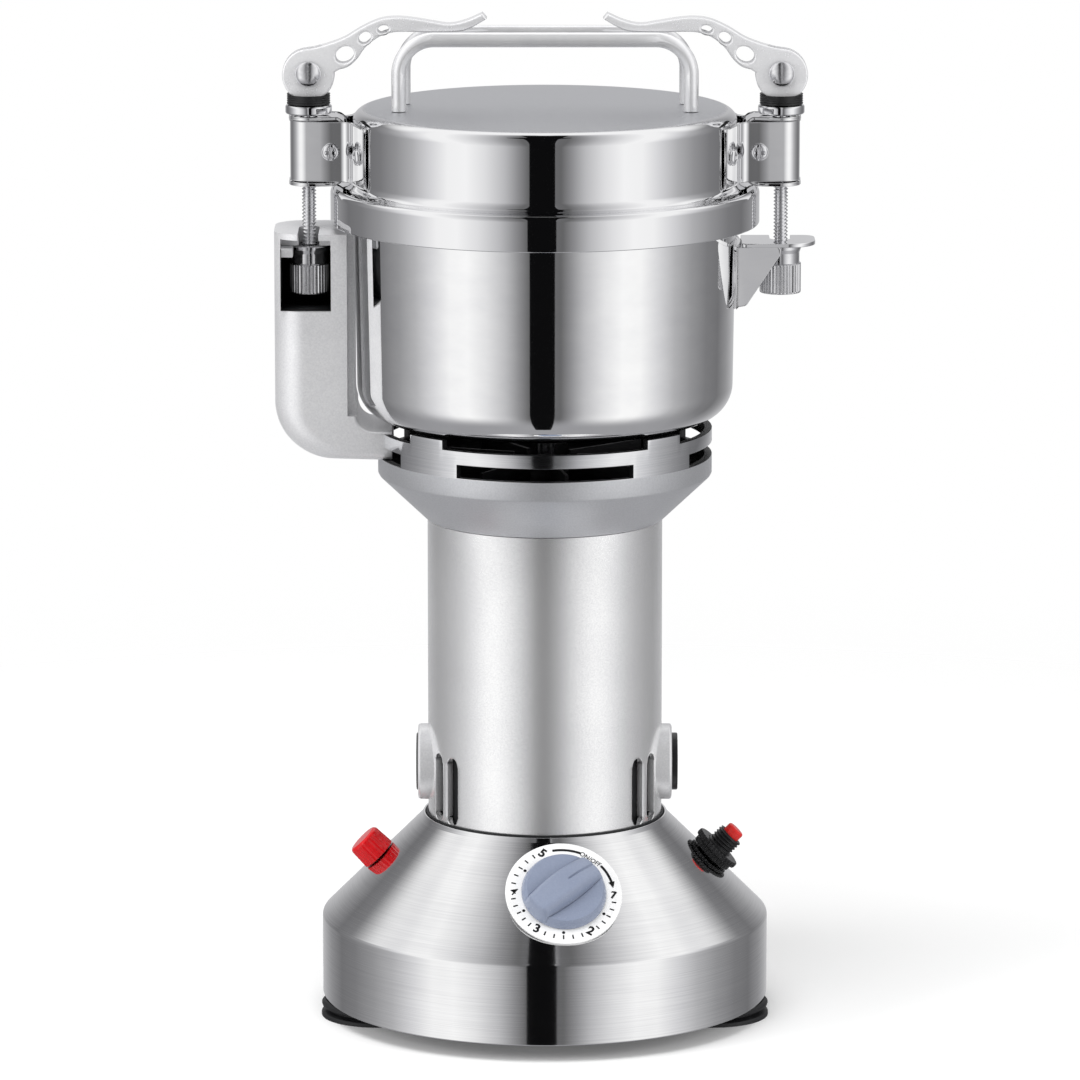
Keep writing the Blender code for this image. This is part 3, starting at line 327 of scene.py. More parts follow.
def makeLidFinish():
    made, tree = blankMaterial("lid stainless")
    where = add(tree, "TexCoord")
    axes = add(tree, "SeparateXYZ", Vector=(where, "Object"))
    flatPlace = add(tree, "CombineXYZ", X=(axes, "X"), Y=(axes, "Y"), Z=0.0)
    radius = add(tree, "VectorMath", {"operation": "LENGTH"}, i0=(flatPlace, 0))
    low, high = lidLook["radii"]
    within = add(tree, "MapRange", smoothStep, Value=(radius, "Value"), From_Min=low * mm, From_Max=high * mm)
    low, high = lidLook["heights"]
    raised = add(tree, "MapRange", Value=(axes, "Z"), From_Min=low * mm, From_Max=high * mm)
    top = add(tree, "Math", {"operation": "MULTIPLY"}, i0=(within, 0), i1=(raised, 0))
    grain = add(tree, "TexNoise", Vector=(where, "Object"), Scale=1 / (lidLook["grain"] * mm), Detail=2.0)
    low, high = lidLook["topRoughness"]
    haze = add(tree, "MapRange", Value=(grain, 0), From_Min=0.3, From_Max=0.7, To_Min=low, To_Max=high)
    rough = add(tree, "Mix", {"data_type": "FLOAT"}, i0=(top, 0), i2=lidLook["wallRoughness"], i3=(haze, 0))
    tint = add(tree, "Mix", colourMix, i0=(top, 0), i6=linear(lidLook["wall"]), i7=linear(lidLook["top"]))
    shader = add(tree, "BsdfPrincipled", Base_Color=(tint, 2), Metallic=1.0, Roughness=(rough, 0))
    add(tree, "OutputMaterial", Surface=(shader, 0))
    return made


materials["lid stainless"] = makeLidFinish()

# Inner CAD nodes stay as they are and take the finish of their own metal or plastic.
nodeFinish = {
    "oxided steel": ("bottom_plate", "stator", "brush_left", "brush_right", "cooling_fan"),
    "black rubber": ("shaft_seal",),
    "black phenolic": ("timer_body",),
    "silver powder coat": ("lower_end_bell", "upper_end_bell"),
    "enamelled copper": ("rotor_core", "commutator"),
    "ground steel": ("motor_shaft", "lower_bearing", "upper_bearing", "lower_blade", "upper_blade",
                     "blade_spacer", "blade_nut"),
    "silicone": ("lid_gasket",),
}
for name, nodes in nodeFinish.items():
    for cadNode in nodes:
        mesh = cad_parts[cadNode].data
        mesh.materials.clear()
        mesh.materials.append(materials[name])
print("finishes are made")


# Shapes. Every surface is worked out in millimetres, as whole arrays.

# Each corner is (x, y) or (x, y, radius). An arc turns from one tangent point to the other.
def rounded(corners, steps=7, tiny=0.15, loop=True):
    spot = np.array([c[:2] for c in corners], float)
    radius = np.array([c[2] if len(c) > 2 else tiny for c in corners], float)
    back, ahead = np.roll(spot, 1, 0) - spot, np.roll(spot, -1, 0) - spot
    backRun, aheadRun = np.linalg.norm(back, axis=1), np.linalg.norm(ahead, axis=1)
    back, ahead = back / backRun[:, None], ahead / aheadRun[:, None]
    half = np.clip(np.arccos(np.clip((back * ahead).sum(1), -1, 1)) / 2, 0.05, pi / 2 - 1e-3)
    reach = np.minimum(radius / np.tan(half), 0.49 * np.minimum(backRun, aheadRun))
    radius = reach * np.tan(half)
    middle = back + ahead
    middle = middle / np.maximum(np.linalg.norm(middle, axis=1), 1e-9)[:, None]
    centre = spot + middle * (radius / np.sin(half))[:, None]
    first, last = spot + back * reach[:, None] - centre, spot + ahead * reach[:, None] - centre
    turn = (pi - 2 * half)[:, None, None]
    part = np.linspace(0, 1, steps)[None, :, None]
    arc = (np.sin((1 - part) * turn) * first[:, None] + np.sin(part * turn) * last[:, None]) / np.sin(turn)
    points = centre[:, None] + arc
    if loop:
        return points.reshape(-1, 2)
    return np.concatenate([spot[:1], points[1:-1].reshape(-1, 2), spot[-1:]])


# Turned: x = r cos a, y = r sin a, z = z, along a closed profile of (r, z).
def spin(profile, turns=160, ripple=None):
    profile = np.asarray(profile, float)
    angle = np.linspace(0, 2 * pi, turns, endpoint=False)[None]
    r = np.repeat(profile[:, :1], turns, 1)
    z = np.repeat(profile[:, 1:2], turns, 1)
    if ripple:
        r, z = ripple(angle, r, z)
    points = np.stack([r * np.cos(angle), r * np.sin(angle), z + 0 * angle], -1)
    return points.reshape(-1, 3), quads(len(profile), turns, rowsClose=True)


# A section carried along a path: path + side x section.x + up x section.y, with both ends drawn to a point.
def carry(path, section, side, up, sizes=None):
    path, section = np.asarray(path, float), np.asarray(section, float)
    sizes = np.ones((len(path), 2)) if sizes is None else np.asarray(sizes, float)
    side, up = np.broadcast_to(side, path.shape), np.broadcast_to(up, path.shape)
    rings = (path[:, None] + side[:, None] * (section[None, :, :1] * sizes[:, None, :1])
             + up[:, None] * (section[None, :, 1:] * sizes[:, None, 1:]))
    ends = [np.repeat(path[i][None, None], len(section), 1) for i in (0, -1)]
    rings = np.concatenate([ends[0], rings, ends[1]])
    return rings.reshape(-1, 3), quads(len(rings), len(section))


def circle(radius, steps=24):
    angle = np.linspace(0, 2 * pi, steps, endpoint=False)
    return np.stack([radius * np.cos(angle), radius * np.sin(angle)], 1)


def along(path):
    step = np.gradient(np.asarray(path, float), axis=0)
    return step / np.linalg.norm(step, axis=1)[:, None]


# A round bar along a path that lies in a plane with the given normal; its ends are eased over 0.4 mm.
def bar(path, radius, normal, steps=24):
    path = np.asarray(path, float)
    ahead = along(path)
    normal = np.asarray(normal, float)
    ease = np.linspace(0, pi / 2, 5)[:-1]
    low = path[0] + ahead[0] * (0.4 * (1 - np.cos(ease)))[:, None]
    high = path[-1] - ahead[-1] * (0.4 * (1 - np.cos(ease[::-1])))[:, None]
    grow = 1 - 0.4 / radius * (1 - np.sin(ease))
    full = np.concatenate([low, path[1:-1], high])
    ahead = np.concatenate([np.repeat(ahead[:1], 4, 0), ahead[1:-1], np.repeat(ahead[-1:], 4, 0)])
    sizes = np.concatenate([grow, np.ones(len(path) - 2), grow[::-1]])[:, None] * np.ones((1, 2))
    return carry(full, circle(radius, steps), np.cross(ahead, normal), normal, sizes)


# Sheet metal bent along a path: a flat section with rounded edges, whose half width may change.
def strip(path, half, thick, wide, edge=0.35):
    path = np.asarray(path, float)
    ahead = along(path)
    half = np.broadcast_to(np.asarray(half, float), (len(path),))
    turn = np.linspace(0, pi / 2, 4)
    rim = np.stack([edge * (np.sin(turn) - 1), thick / 2 - edge * (1 - np.cos(turn))], 1)[::-1]
    corner = np.concatenate([rim, (rim * (1, -1))[::-1]])
    signs = np.concatenate([np.ones(len(corner)), -np.ones(len(corner))])
    ins = np.concatenate([corner[:, 0], -corner[::-1, 0]])
    highs = np.concatenate([corner[:, 1], corner[::-1, 1]])
    across = signs[None] * half[:, None] + np.clip(ins[None], -half[:, None], half[:, None])
    wide = np.asarray(wide, float)
    normal = np.cross(ahead, wide)
    rings = path[:, None] + wide * across[..., None] + normal[:, None] * highs[None, :, None]
    middle = [np.repeat(path[i][None, None], rings.shape[1], 1) for i in (0, -1)]
    rings = np.concatenate([middle[0], rings, middle[1]])
    return rings.reshape(-1, 3), quads(len(rings), rings.shape[1])


# A flat plate with holes: a band with rounded edges round every outline, and flat caps filled between them.
def plate(outlines, low, high, edge=0.3):
    parts, caps = [], []
    for number, outline in enumerate(outlines):
        outline = np.asarray(outline, float)
        ahead = np.roll(outline, -1, 0) - np.roll(outline, 1, 0)
        ahead = ahead / np.linalg.norm(ahead, axis=1)[:, None]
        area = (outline[:, 0] * np.roll(outline[:, 1], -1) - outline[:, 1] * np.roll(outline[:, 0], -1)).sum()
        inward = np.stack([-ahead[:, 1], ahead[:, 0]], 1) * np.sign(area) * (1 if number == 0 else -1)
        turn = np.linspace(0, pi / 2, 5)
        shift = np.concatenate([edge * (1 - np.sin(turn)), edge * (1 - np.sin(turn[::-1]))])
        level = np.concatenate([low + edge * (1 - np.cos(turn)), high - edge * (1 - np.cos(turn[::-1]))])
        flat = outline[None] + inward[None] * shift[:, None, None]
        rings = np.concatenate([flat, np.broadcast_to(level[:, None, None], (*flat.shape[:2], 1))], -1)
        parts.append((rings.reshape(-1, 3), quads(len(rings), len(outline))))
        caps.append((rings[0], rings[-1]))
    for end in (0, 1):
        mesh = bmesh.new()
        edges = []
        for cap in caps:
            corners = [mesh.verts.new(p) for p in cap[end]]
            edges += [mesh.edges.new((a, b)) for a, b in zip(corners, corners[1:] + corners[:1])]
        bmesh.ops.triangle_fill(mesh, use_beauty=True, use_dissolve=False, edges=edges, normal=(0, 0, 1))
        mesh.verts.index_update()
        parts.append((np.array([v.co[:] for v in mesh.verts]),
                      [[v.index for v in face.verts] for face in mesh.faces]))
        mesh.free()
    return join(parts)


def join(parts):
    points, faces, start = [], [], 0
    for spot, sides in parts:
        points.append(np.asarray(spot, float))
        faces += [[int(i) + start for i in side] for side in sides]
        start += len(spot)
    return np.concatenate(points), faces


# Moves a part: its own x, y and z become three given axes through a place.
def put(part, place, x=(1, 0, 0), y=(0, 1, 0), z=(0, 0, 1)):
    axes = np.array([x, y, z], float)
    return np.asarray(part[0]) @ axes + np.asarray(place, float), part[1]


# The base's 45 degree cone: out, side, climb and normal at an azimuth, a distance in from the edge.
def onCone(part, azimuth, fromEdge):
    turn = radians(azimuth)
    out = np.array([sin(turn), -cos(turn), 0])
    side = np.array([cos(turn), sin(turn), 0])
    normal = (out + (0, 0, 1)) / sqrt(2)
    climb = np.cross(normal, side)
    place = out * (91.2 - fromEdge) + np.array([0, 0, 40 + fromEdge])
    return put(part, place, side, climb, normal)


# An ordinary closed mesh object from parts; each part may have a finish of its own.
def makePiece(name, body, parts, finish, hides=(), closed=True, weighted=True):
    finishNames = [finish] if isinstance(finish, str) else list(finish)
    mesh = bmesh.new()
    for number, part in enumerate(parts):
        corners = [mesh.verts.new(p) for p in (np.asarray(part[0]) * mm).tolist()]
        mesh.verts.ensure_lookup_table()
        for side in part[1]:
            face = mesh.faces.new([corners[i] for i in side])
            face.smooth = True
            face.material_index = min(number, len(finishNames) - 1)
    bmesh.ops.remove_doubles(mesh, verts=mesh.verts, dist=2e-6)
    if closed:
        bmesh.ops.recalc_face_normals(mesh, faces=mesh.faces)
    data = bpy.data.meshes.new(name)
    mesh.to_mesh(data)
    mesh.free()
    for finishName in finishNames:
        data.materials.append(materials[finishName])
    piece = link(name, data)
    if weighted:
        smooth = piece.modifiers.new("weighted", "WEIGHTED_NORMAL")
        smooth.weight = 100
    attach(piece, body)
    if hides:
        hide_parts(*hides)
    return piece


# Gives an open surface its wall, inwards. The last two pick another finish for the inside and the rim.
def thicken(piece, wall, inside=0, rim=0):
    thick = piece.modifiers.new("thick", "SOLIDIFY")
    thick.thickness = wall * mm
    thick.offset = -1
    thick.use_even_offset = True
    thick.material_offset = inside
    thick.material_offset_rim = rim


# Rounds the edges that are sharper than an angle.
def breakEdges(piece, width, sharper):
    edge = piece.modifiers.new("edge", "BEVEL")
    edge.width = width * mm
    edge.segments = 2
    edge.limit_method = "ANGLE"
    edge.angle_limit = radians(sharper)


# The turn, in radians, from each angle to the nearest of the marks.
def apart(angles, marks):
    return np.abs((angles[:, None] - marks[None] + pi) % (2 * pi) - pi).min(1)


# The angle in the middle of each face of a grid's row, from its first column at.
def faceAngle(angle, at):
    step = angle[(at + 1) % len(angle)] - angle[at]
    return angle[at] + ((step + pi) % (2 * pi) - pi) / 2


# Cuts closed cutters out of a part with exact Booleans, and gives the result back as a part.
def carve(part, cutters):
    made = []
    for shape in [part, *cutters]:
        mesh = bmesh.new()
        corners = [mesh.verts.new(p) for p in np.asarray(shape[0]).tolist()]
        for side in shape[1]:
            mesh.faces.new([corners[i] for i in side])
        bmesh.ops.remove_doubles(mesh, verts=mesh.verts, dist=2e-3)
        bmesh.ops.recalc_face_normals(mesh, faces=mesh.faces)
        data = bpy.data.meshes.new("shape")
        mesh.to_mesh(data)
        mesh.free()
        made.append(link("shape", data))
    for cutter in made[1:]:
        cut = made[0].modifiers.new("cut", "BOOLEAN")
        cut.operation = "DIFFERENCE"
        cut.solver = "EXACT"
        cut.object = cutter
    bpy.context.view_layer.update()
    ready = bpy.data.meshes.new_from_object(made[0].evaluated_get(bpy.context.evaluated_depsgraph_get()))
    points = np.array([v.co[:] for v in ready.vertices])
    faces = [list(p.vertices) for p in ready.polygons]
    for holder in made:
        bpy.data.objects.remove(holder)
    return points, faces


def box(low, high):
    low, high = np.array(low, float), np.array(high, float)
    ends = np.array([[x, y, z] for z in (0, 1) for y in (0, 1) for x in (0, 1)])
    faces = [[0, 1, 3, 2], [4, 6, 7, 5], [0, 4, 5, 1], [2, 3, 7, 6], [0, 2, 6, 4], [1, 5, 7, 3]]
    return low + ends * (high - low), faces


# Base

# Each foot stands where its CAD node stands. The others are given by azimuth and distance in from the edge.
base = {"feet": ("foot_front_left", "foot_front_right", "foot_rear_left", "foot_rear_right"),
        "gland": (180, 16), "lamp": (-90, 23.4), "switch": (90, 23.4)}


def makeBase():
    shell = rounded([(48.9, 82.3, 0.3), (49.7, 82.3, 0.4), (50.6, 80.6, 0.6), (91.2, 40, 2.2), (91.2, 7, 0.5),
                     (90, 7, 0.4), (90, 39.5), (51.0, 78.5), (39.7, 78.5), (39.7, 79.7), (48.9, 79.7)], steps=9)
    seal = rounded([(47.76, 79.8), (48.85, 79.8), (48.55, 83.0, 0.3), (47.76, 83.0, 0.3)], steps=4)
    makePiece("column_seat_seal", "base", [spin(seal, 160)], "matt black and painted shade")
    makePiece("base_shell_smooth", "base", [spin(shell, 256)], "brushed stainless", ("base_shell",))
    foot = rounded([(0, 11), (4, 11), (4, 6.7, 0.6), (22, 6.7, 0.8), (23, 5.5, 0.8), (22.5, 4, 0.5),
                    (20, 3.6, 0.4), (20, 2.6, 0.4), (23, 1.8, 0.7), (23, 0, 0.3), (19.5, 0), (16.5, 1.2, 1),
                    (0, 1.8)], steps=5)
    for name in base["feet"]:
        low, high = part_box(name)
        place = [(low[i] + high[i]) / 2 / mm for i in (0, 1)] + [low[2] / mm]
        makePiece(name + "_moulded", "base", [put(spin(foot, 72), place)], "black rubber", (name,))
    gland = rounded([(3, 10, 0.6), (5, 10, 0.8), (7, 3.5, 0.8), (8, 3.5, 0.4), (8, 0.4), (5, 0.4), (5, -8),
                     (3, -8)], steps=4)
    makePiece("cord_gland_moulded", "base", [onCone(spin(gland, 48), *base["gland"])], "black rubber",
              ("cord_gland",))


makeBase()
print("base is made")


# Controls on the base's cone

dial = {"place": (6.3, 23.4), "radius": 23.5, "bore": 3.3, "thick": 0.9, "printLift": 0.05,
        "numberRadius": 20.2, "numberSize": 5.3,
        # Each number's place round the disc, its lean and how far its strokes are thickened.
        "numbers": {"1": (-4.2, -36, None), "2": (-62.5, -33, 0.2), "3": (-126.9, -25, 0.2),
                    "4": (-184.1, -42, 0.03), "5": (-249.3, -38, 0.2)},
        # Between two numbers stand five ticks, and a dot inside the third.
        "tickRadius": 20.5, "tickLong": 1.9, "tickHalfTurn": 0.85, "dotRadius": 18.4, "dotSize": 0.66,
        # The word's size, radius, place round the disc, lean and thickening.
        "word": ("ON/OFF", 2.7, 19.6, 52.3, -38, 0.045),
        "arcRadius": 20.2, "arcWidth": 1.05, "arcs": ((98.6, 65.5), (37.5, 12.5)),
        "arrow": (13.5, 5.0), "arrowWidths": (2.7, 0.05)}


def polar(radius, angle):
    return radius * cos(radians(angle)), radius * sin(radians(angle))


def onDial(part):
    return onCone(part, *dial["place"])


# Flat points turned about their middle, moved to their place and lifted off the disc.
def laid(points, place, turn, lift):
    c, s = cos(radians(turn)), sin(radians(turn))
    x, y = points[:, 0] * c - points[:, 1] * s + place[0], points[:, 0] * s + points[:, 1] * c + place[1]
    return np.stack([x, y, np.full(len(x), lift)], 1)


# A one: a stem and the flag that leans down from its top.
def numberOne(place, turn, lift):
    points = np.array([(-0.42, -1.8), (0.42, -1.8), (0.42, 1.8), (-0.42, 1.8), (-1.6, 1.1), (-1.6, 0.3),
                       (-0.42, 0.95)])
    return laid(points, place, turn, lift), [[0, 1, 2, 3, 6], [3, 4, 5, 6]]


# A text's own outline as a flat mesh.
def letters(words, size, place, turn, bold, lift):
    text = bpy.data.curves.new("letters", "FONT")
    text.body = words
    text.size = size
    text.align_x, text.align_y = "CENTER", "CENTER"
    text.offset = bold
    holder = link("letters", text)
    bpy.context.view_layer.update()
    flat = bpy.data.meshes.new_from_object(holder.evaluated_get(bpy.context.evaluated_depsgraph_get()))
    points = np.array([v.co[:2] for v in flat.vertices])
    faces = [list(p.vertices) for p in flat.polygons]
    bpy.data.objects.remove(holder)
    return laid(points, place, turn, lift), faces


# A flat arc of ink between two angles, its width set at each end.
def inkArc(radius, start, end, widths, lift, steps=40):
    angle = np.radians(np.linspace(start, end, steps))
    half = np.linspace(widths[0], widths[1], steps) / 2
    reach = np.concatenate([radius - half, radius + half])
    angle = np.tile(angle, 2)
    points = np.stack([reach * np.cos(angle), reach * np.sin(angle), 0 * angle + lift], 1)
    return points, quads(2, steps, columnsClose=False)


def makeDial():
    low, high, bore, edge = -0.2, dial["thick"], dial["bore"], dial["radius"]
    disc = rounded([(bore, low), (bore, high), (edge, high, 0.3), (edge, low)], steps=5)
    makePiece("dial_disc", "base", [onDial(spin(disc, 160))], "white plastic", ("dial_plate",))
    lift = high + dial["printLift"]
    ink = []
    spots = [angle for angle, turn, bold in dial["numbers"].values()]
    for at, (number, (angle, turn, bold)) in enumerate(dial["numbers"].items()):
        place = polar(dial["numberRadius"], angle)
        if number == "1":
            ink.append(numberOne(place, turn, lift))
        else:
            ink.append(letters(number, dial["numberSize"], place, turn, bold, lift))
        if at == len(spots) - 1:
            continue
        gap, half, long = spots[at + 1] - angle, dial["tickHalfTurn"], dial["tickLong"]
        for step in range(1, 6):
            spot = angle + gap * step / 6
            ink.append(inkArc(dial["tickRadius"], spot + half, spot - half, (long, long), lift, 3))
        x, y = polar(dial["dotRadius"], angle + gap / 2)
        size, turn = dial["dotSize"], np.linspace(0, 2 * pi, 20, endpoint=False)
        dot = np.stack([x + size * np.cos(turn), y + size * np.sin(turn), 0 * turn + lift], 1)
        ink.append((dot, [list(range(20))]))
    word, size, radius, angle, turn, bold = dial["word"]
    ink.append(letters(word, size, polar(radius, angle), turn, bold, lift))
    for start, end in dial["arcs"]:
        ink.append(inkArc(dial["arcRadius"], start, end, (dial["arcWidth"], dial["arcWidth"]), lift))
    ink.append(inkArc(dial["arcRadius"], *dial["arrow"], dial["arrowWidths"], lift, 8))
    makePiece("dial_print", "base", [onDial(join(ink))], "printing ink", closed=False, weighted=False)


# The knob as a height over its disc: a grip with leaning, bowed sides across a low skirt.
knob = {"radius": 17.1, "rim": 15.8, "low": 1.3, "high": 11.0, "floor": 5.6, "half": 5.5,
        "bow": 1.4, "flank": 3.0, "pointer": 38, "near": 1.6, "far": 4.6, "crease": 0.45,
        "groove": 0.8, "round": 0.7}


def makeKnob():
    rings, turns = 90, 288
    r = (np.linspace(0, 1, rings) ** 0.9 * knob["rim"])[:, None]
    a = np.linspace(0, 2 * pi, turns, endpoint=False)[None]
    turn = radians(knob["pointer"])
    x, y = r * np.cos(a), r * np.sin(a)
    u, v = x * cos(turn) + y * sin(turn), -x * sin(turn) + y * cos(turn)
    half = knob["half"] + knob["bow"] * np.cos(u / knob["radius"] * pi / 2)
    fall = np.where(u > 0, knob["far"], knob["near"])
    crown = knob["high"] - fall * (u / knob["radius"]) ** 2
    shoulder = 1 - np.clip((half - np.abs(v)) / knob["flank"], 0, 1)
    height = knob["floor"] + (crown - knob["floor"]) * np.sqrt(1 - shoulder ** 2)
    groove = np.exp(-(v / 0.36) ** 2) / (1 + np.exp(-(u - 1.5) / 0.3))
    crease = np.exp(-((np.abs(v) - half - 0.15) / 0.28) ** 2)
    height = height - knob["groove"] * groove - knob["crease"] * crease
    edge = np.clip((r - (knob["rim"] - knob["round"])) / knob["round"], 0, 1)
    height = height - knob["round"] * (1 - np.sqrt(np.clip(1 - edge ** 2, 0, 1)))
    top = np.stack([x, y, height], -1)
    down = np.array([0.97, 0.85, 0.5, 0.2, 0.12, 0.04, 0.0])[:, None]
    grow = np.array([0.1, 0.3, 0.75, 1, 1, 0.99, 0.97])[:, None]
    grow = knob["rim"] + (knob["radius"] - knob["rim"]) * grow
    side = np.stack([grow * np.cos(a), grow * np.sin(a), knob["low"] + (height[-1:] - knob["low"]) * down], -1)
    centre = np.stack([0 * x[:1], 0 * y[:1], np.full((1, turns), knob["low"])], -1)
    points = np.concatenate([top, side, centre])
    part = (points.reshape(-1, 3), quads(len(points), turns))
    stem = spin(rounded([(0, 1.35), (3.0, 1.35), (3.0, -0.15), (0, -0.15)], steps=3), 32)
    makePiece("timer_knob_moulded", "timer", [onDial(part), onDial(stem)], "grey blue plastic", ("timer_knob",),
              weighted=False)


# Lamp cap and reset switch

def makeLampCap():
    profile = rounded([(0, 10), (7.0, 10, 1.6), (7.5, 0.3, 0.3), (0, 0.3)], steps=9)

    def ribs(a, r, z):
        groove = 0.28 * (0.5 - 0.5 * np.cos(24 * a)) * np.clip(9.2 - z, 0, 1)
        return np.where(r > 5, r - groove, r), z

    makePiece("indicator_lamp_cap", "base", [onCone(spin(profile, 144, ribs), *base["lamp"])], "red lamp",
              ("indicator_lamp",))


def makeReset():
    def knurl(a, r, z):
        groove = 0.5 - 0.5 * np.cos(36 * a)
        inside = (r > 8.6) & (np.abs(z - 1.5) < 0.9) | (r > 9.4) & (np.abs(z - 4.1) < 1.1)
        return np.where(inside, r - 0.6 * groove, r), z

    ring = rounded([(5.9, 0.4), (9.2, 0.4, 0.3), (9.2, 2.6, 0.4), (8.5, 2.75, 0.2), (10.4, 2.9, 0.4),
                    (10.4, 5.3, 0.6), (5.9, 5.3, 0.3)], steps=6)
    makePiece("reset_nut_moulded", "base", [onCone(spin(ring, 240, knurl), *base["switch"])], "black phenolic",
              ("reset_nut",))
    levels = np.arange(-8, 11.6, 0.16)
    outer = np.stack([np.full(len(levels), 5.6), levels], 1)
    neck = np.concatenate([outer, [(5.3, 12.0), (4.3, 12.0), (4.05, 11.8), (4.05, 5.0), (0, 5.0), (0, -8)]])

    def thread(a, r, z):
        wave = np.abs(((z / 1.4 - a / (2 * pi)) % 1) - 0.5) * 2
        return np.where((r > 5.5) & (z > 5.4), r - 0.75 * wave, r), z

    makePiece("reset_neck", "base", [onCone(spin(neck, 48, thread), *base["switch"])], "black phenolic",
              ("reset_body",))
    button = rounded([(0, 15.5), (3.75, 15.5, 0.9), (3.75, 7.5), (0, 7.5)], steps=7)
    makePiece("reset_button_moulded", "reset", [onCone(spin(button, 64), *base["switch"])], "red nylon",
              ("reset_button",))


makeDial()
makeKnob()
makeLampCap()
makeReset()
print("controls are made")


# Column. Columns of the grid follow the slots' edges, and two rows follow their round ends.

column = {"radius": 47.7, "low": 80, "high": 204.9, "wall": 2.6, "rim": 0.35,
          "slots": (52.2, 64.9), "half": 3.5, "middle": 96.5, "reach": 10.5, "roll": 0.25,
          "capHeight": 102.8, "sink": {"left": 1.7, "right": 0}}  # the left cap is screwed in almost flush


def makeColumn():
    radius, half = column["radius"], column["half"]
    centres = np.radians([sign * s + turn for turn in (0, 180) for s in column["slots"] for sign in (-1, 1)])
    spread = np.sin(np.linspace(-pi / 2, pi / 2, 13)) * half / radius
    even = np.linspace(-pi, pi, 192, endpoint=False)
    far = apart(even, centres) > 1.08 * half / radius
    inSlots = ((centres[:, None] + spread[None] + pi) % (2 * pi) - pi).ravel()
    angle = np.sort(np.concatenate([even[far], inSlots]))
    away = apart(angle, centres) * radius
    bulge = column["reach"] + np.sqrt(np.clip(half ** 2 - away ** 2, 0, None))
    low, high = column["middle"] - bulge, column["middle"] + bulge
    rows = [0 * low + column["low"], 0 * low + 81.0, low - 1.2, low - 0.5, low, high, high + 0.5, high + 1.2,
            0 * low + 118, 0 * low + 160, 0 * low + column["high"]]
    z = np.stack(rows)
    r = radius + 0 * z
    # A moulded rim: the wall rolls in before each slot.
    r[4:6] -= np.where(away < half + 0.01, column["roll"], 0.0)
    points = np.stack([r * np.sin(angle), -r * np.cos(angle), z], -1).reshape(-1, 3)
    faces = quads(len(rows), len(angle))
    row, at = np.divmod(np.arange(len(faces)), len(angle))
    gone = (row == 4) & (apart(faceAngle(angle, at), centres) * radius < half)
    finish = ("silver powder coat", "pale powder coat")
    wall = makePiece("motor_housing_smooth", "base", [(points, faces[~gone])], finish, ("motor_housing",),
                     closed=False, weighted=False)
    thicken(wall, column["wall"], rim=1)
    breakEdges(wall, column["rim"], 50)
    for side, name in ((-1, "left"), (1, "right")):
        place = (0, 0, column["capHeight"]), (0, 1, 0), (0, 0, 1), (side, 0, 0)
        boss = rounded([(0, 43), (15.5, 43), (15.5, 51.8, 1.2), (12.4, 51.8, 0.4), (12.4, 50.6),
                        (0, 50.6)], steps=6)
        makePiece("brush_boss_" + name, "base", [put(spin(boss, 96), *place)], "pale powder coat")
        sink = column["sink"][name]
        cap = rounded([(0, 52.4 - sink), (1.4, 52.4 - sink), (1.4, 52.9 - sink), (9.8, 52.9 - sink, 0.3),
                       (10.3, 54.2 - sink, 0.3), (11.7, 54.2 - sink, 0.5), (11.7, 50.7), (0, 50.7)], steps=4)
        makePiece("brush_cap_{}_moulded".format(name), "base", [put(spin(cap, 80), *place)], "black phenolic",
                  ("brush_cap_" + name,))
    # Painted shade: a black sleeve inside the wall, for the dark seen through the slots.
    sleeve = spin(rounded([(44.4, 82.2), (44.4, 122), (43.6, 122), (43.6, 82.2)], steps=3), 96)
    makePiece("slot_shade_sleeve", "base", [sleeve], "matt black and painted shade")


makeColumn()


# Vent collar: a turned shell with four windows and four notches in its top edge.

collar = {"windowHalf": 31.3, "notchHalf": 37.2, "wall": 3, "rim": 0.2,
          "profile": ((44.9, 205.3), (48.3, 205.3), (48.9, 205.75), (67.25, 223.2),
                      (67.7, 224.1), (67.7, 231.2), (67.7, 231.4), (67.7, 236.8), (67.7, 242.2), (67.7, 245.9)),
          "turnedFrom": 5, "windowRow": 6, "notchRow": 8}  # rows counted up the profile


def makeCollar():
    profile = np.array(collar["profile"])
    halves = (collar["windowHalf"], collar["notchHalf"])
    marks = np.radians(np.concatenate([[t - h, t + h] for t in (0, 90, 180, 270) for h in halves])) % (2 * pi)
    even = np.linspace(0, 2 * pi, 176, endpoint=False)
    angle = np.sort(np.concatenate([even[apart(even, marks) >= radians(0.7)], marks]))
    points = np.stack([profile[:, :1] * np.cos(angle), profile[:, :1] * np.sin(angle),
                       profile[:, 1:] + 0 * angle], -1).reshape(-1, 3)
    faces = quads(len(profile), len(angle))
    row, at = np.divmod(np.arange(len(faces)), len(angle))
    off = np.degrees(np.abs((faceAngle(angle, at) + pi / 4) % (pi / 2) - pi / 4))
    gone = ((row == collar["windowRow"]) & (off < collar["windowHalf"])
            | (row == collar["notchRow"]) & (off < collar["notchHalf"]))
    turned = row >= collar["turnedFrom"]
    parts = [(points, faces[~gone & ~turned]), (points, faces[~gone & turned])]
    # The inside and every cut edge take painted shade in black.
    finish = ("blasted aluminium", "turned aluminium", "matt black and painted shade")
    ring = makePiece("vent_collar_smooth", "base", parts, finish, ("vent_collar",), closed=False, weighted=False)
    thicken(ring, collar["wall"], inside=2, rim=2)
    breakEdges(ring, collar["rim"], 40)


makeCollar()
print("column and collar are made")


# Bowl and lid

def makeBowl():
    profile = rounded([(84.6, 337, 0.5), (84.6, 335.5, 0.5), (77, 335.5, 1.5), (75.8, 246.4, 14), (12, 246.4),
                       (12, 247.9), (74.3, 247.9, 12.5), (75.5, 337, 1.2)], steps=14)
    makePiece("bowl_smooth", "base", [spin(profile, 256)], "buffed stainless", ("bowl",))


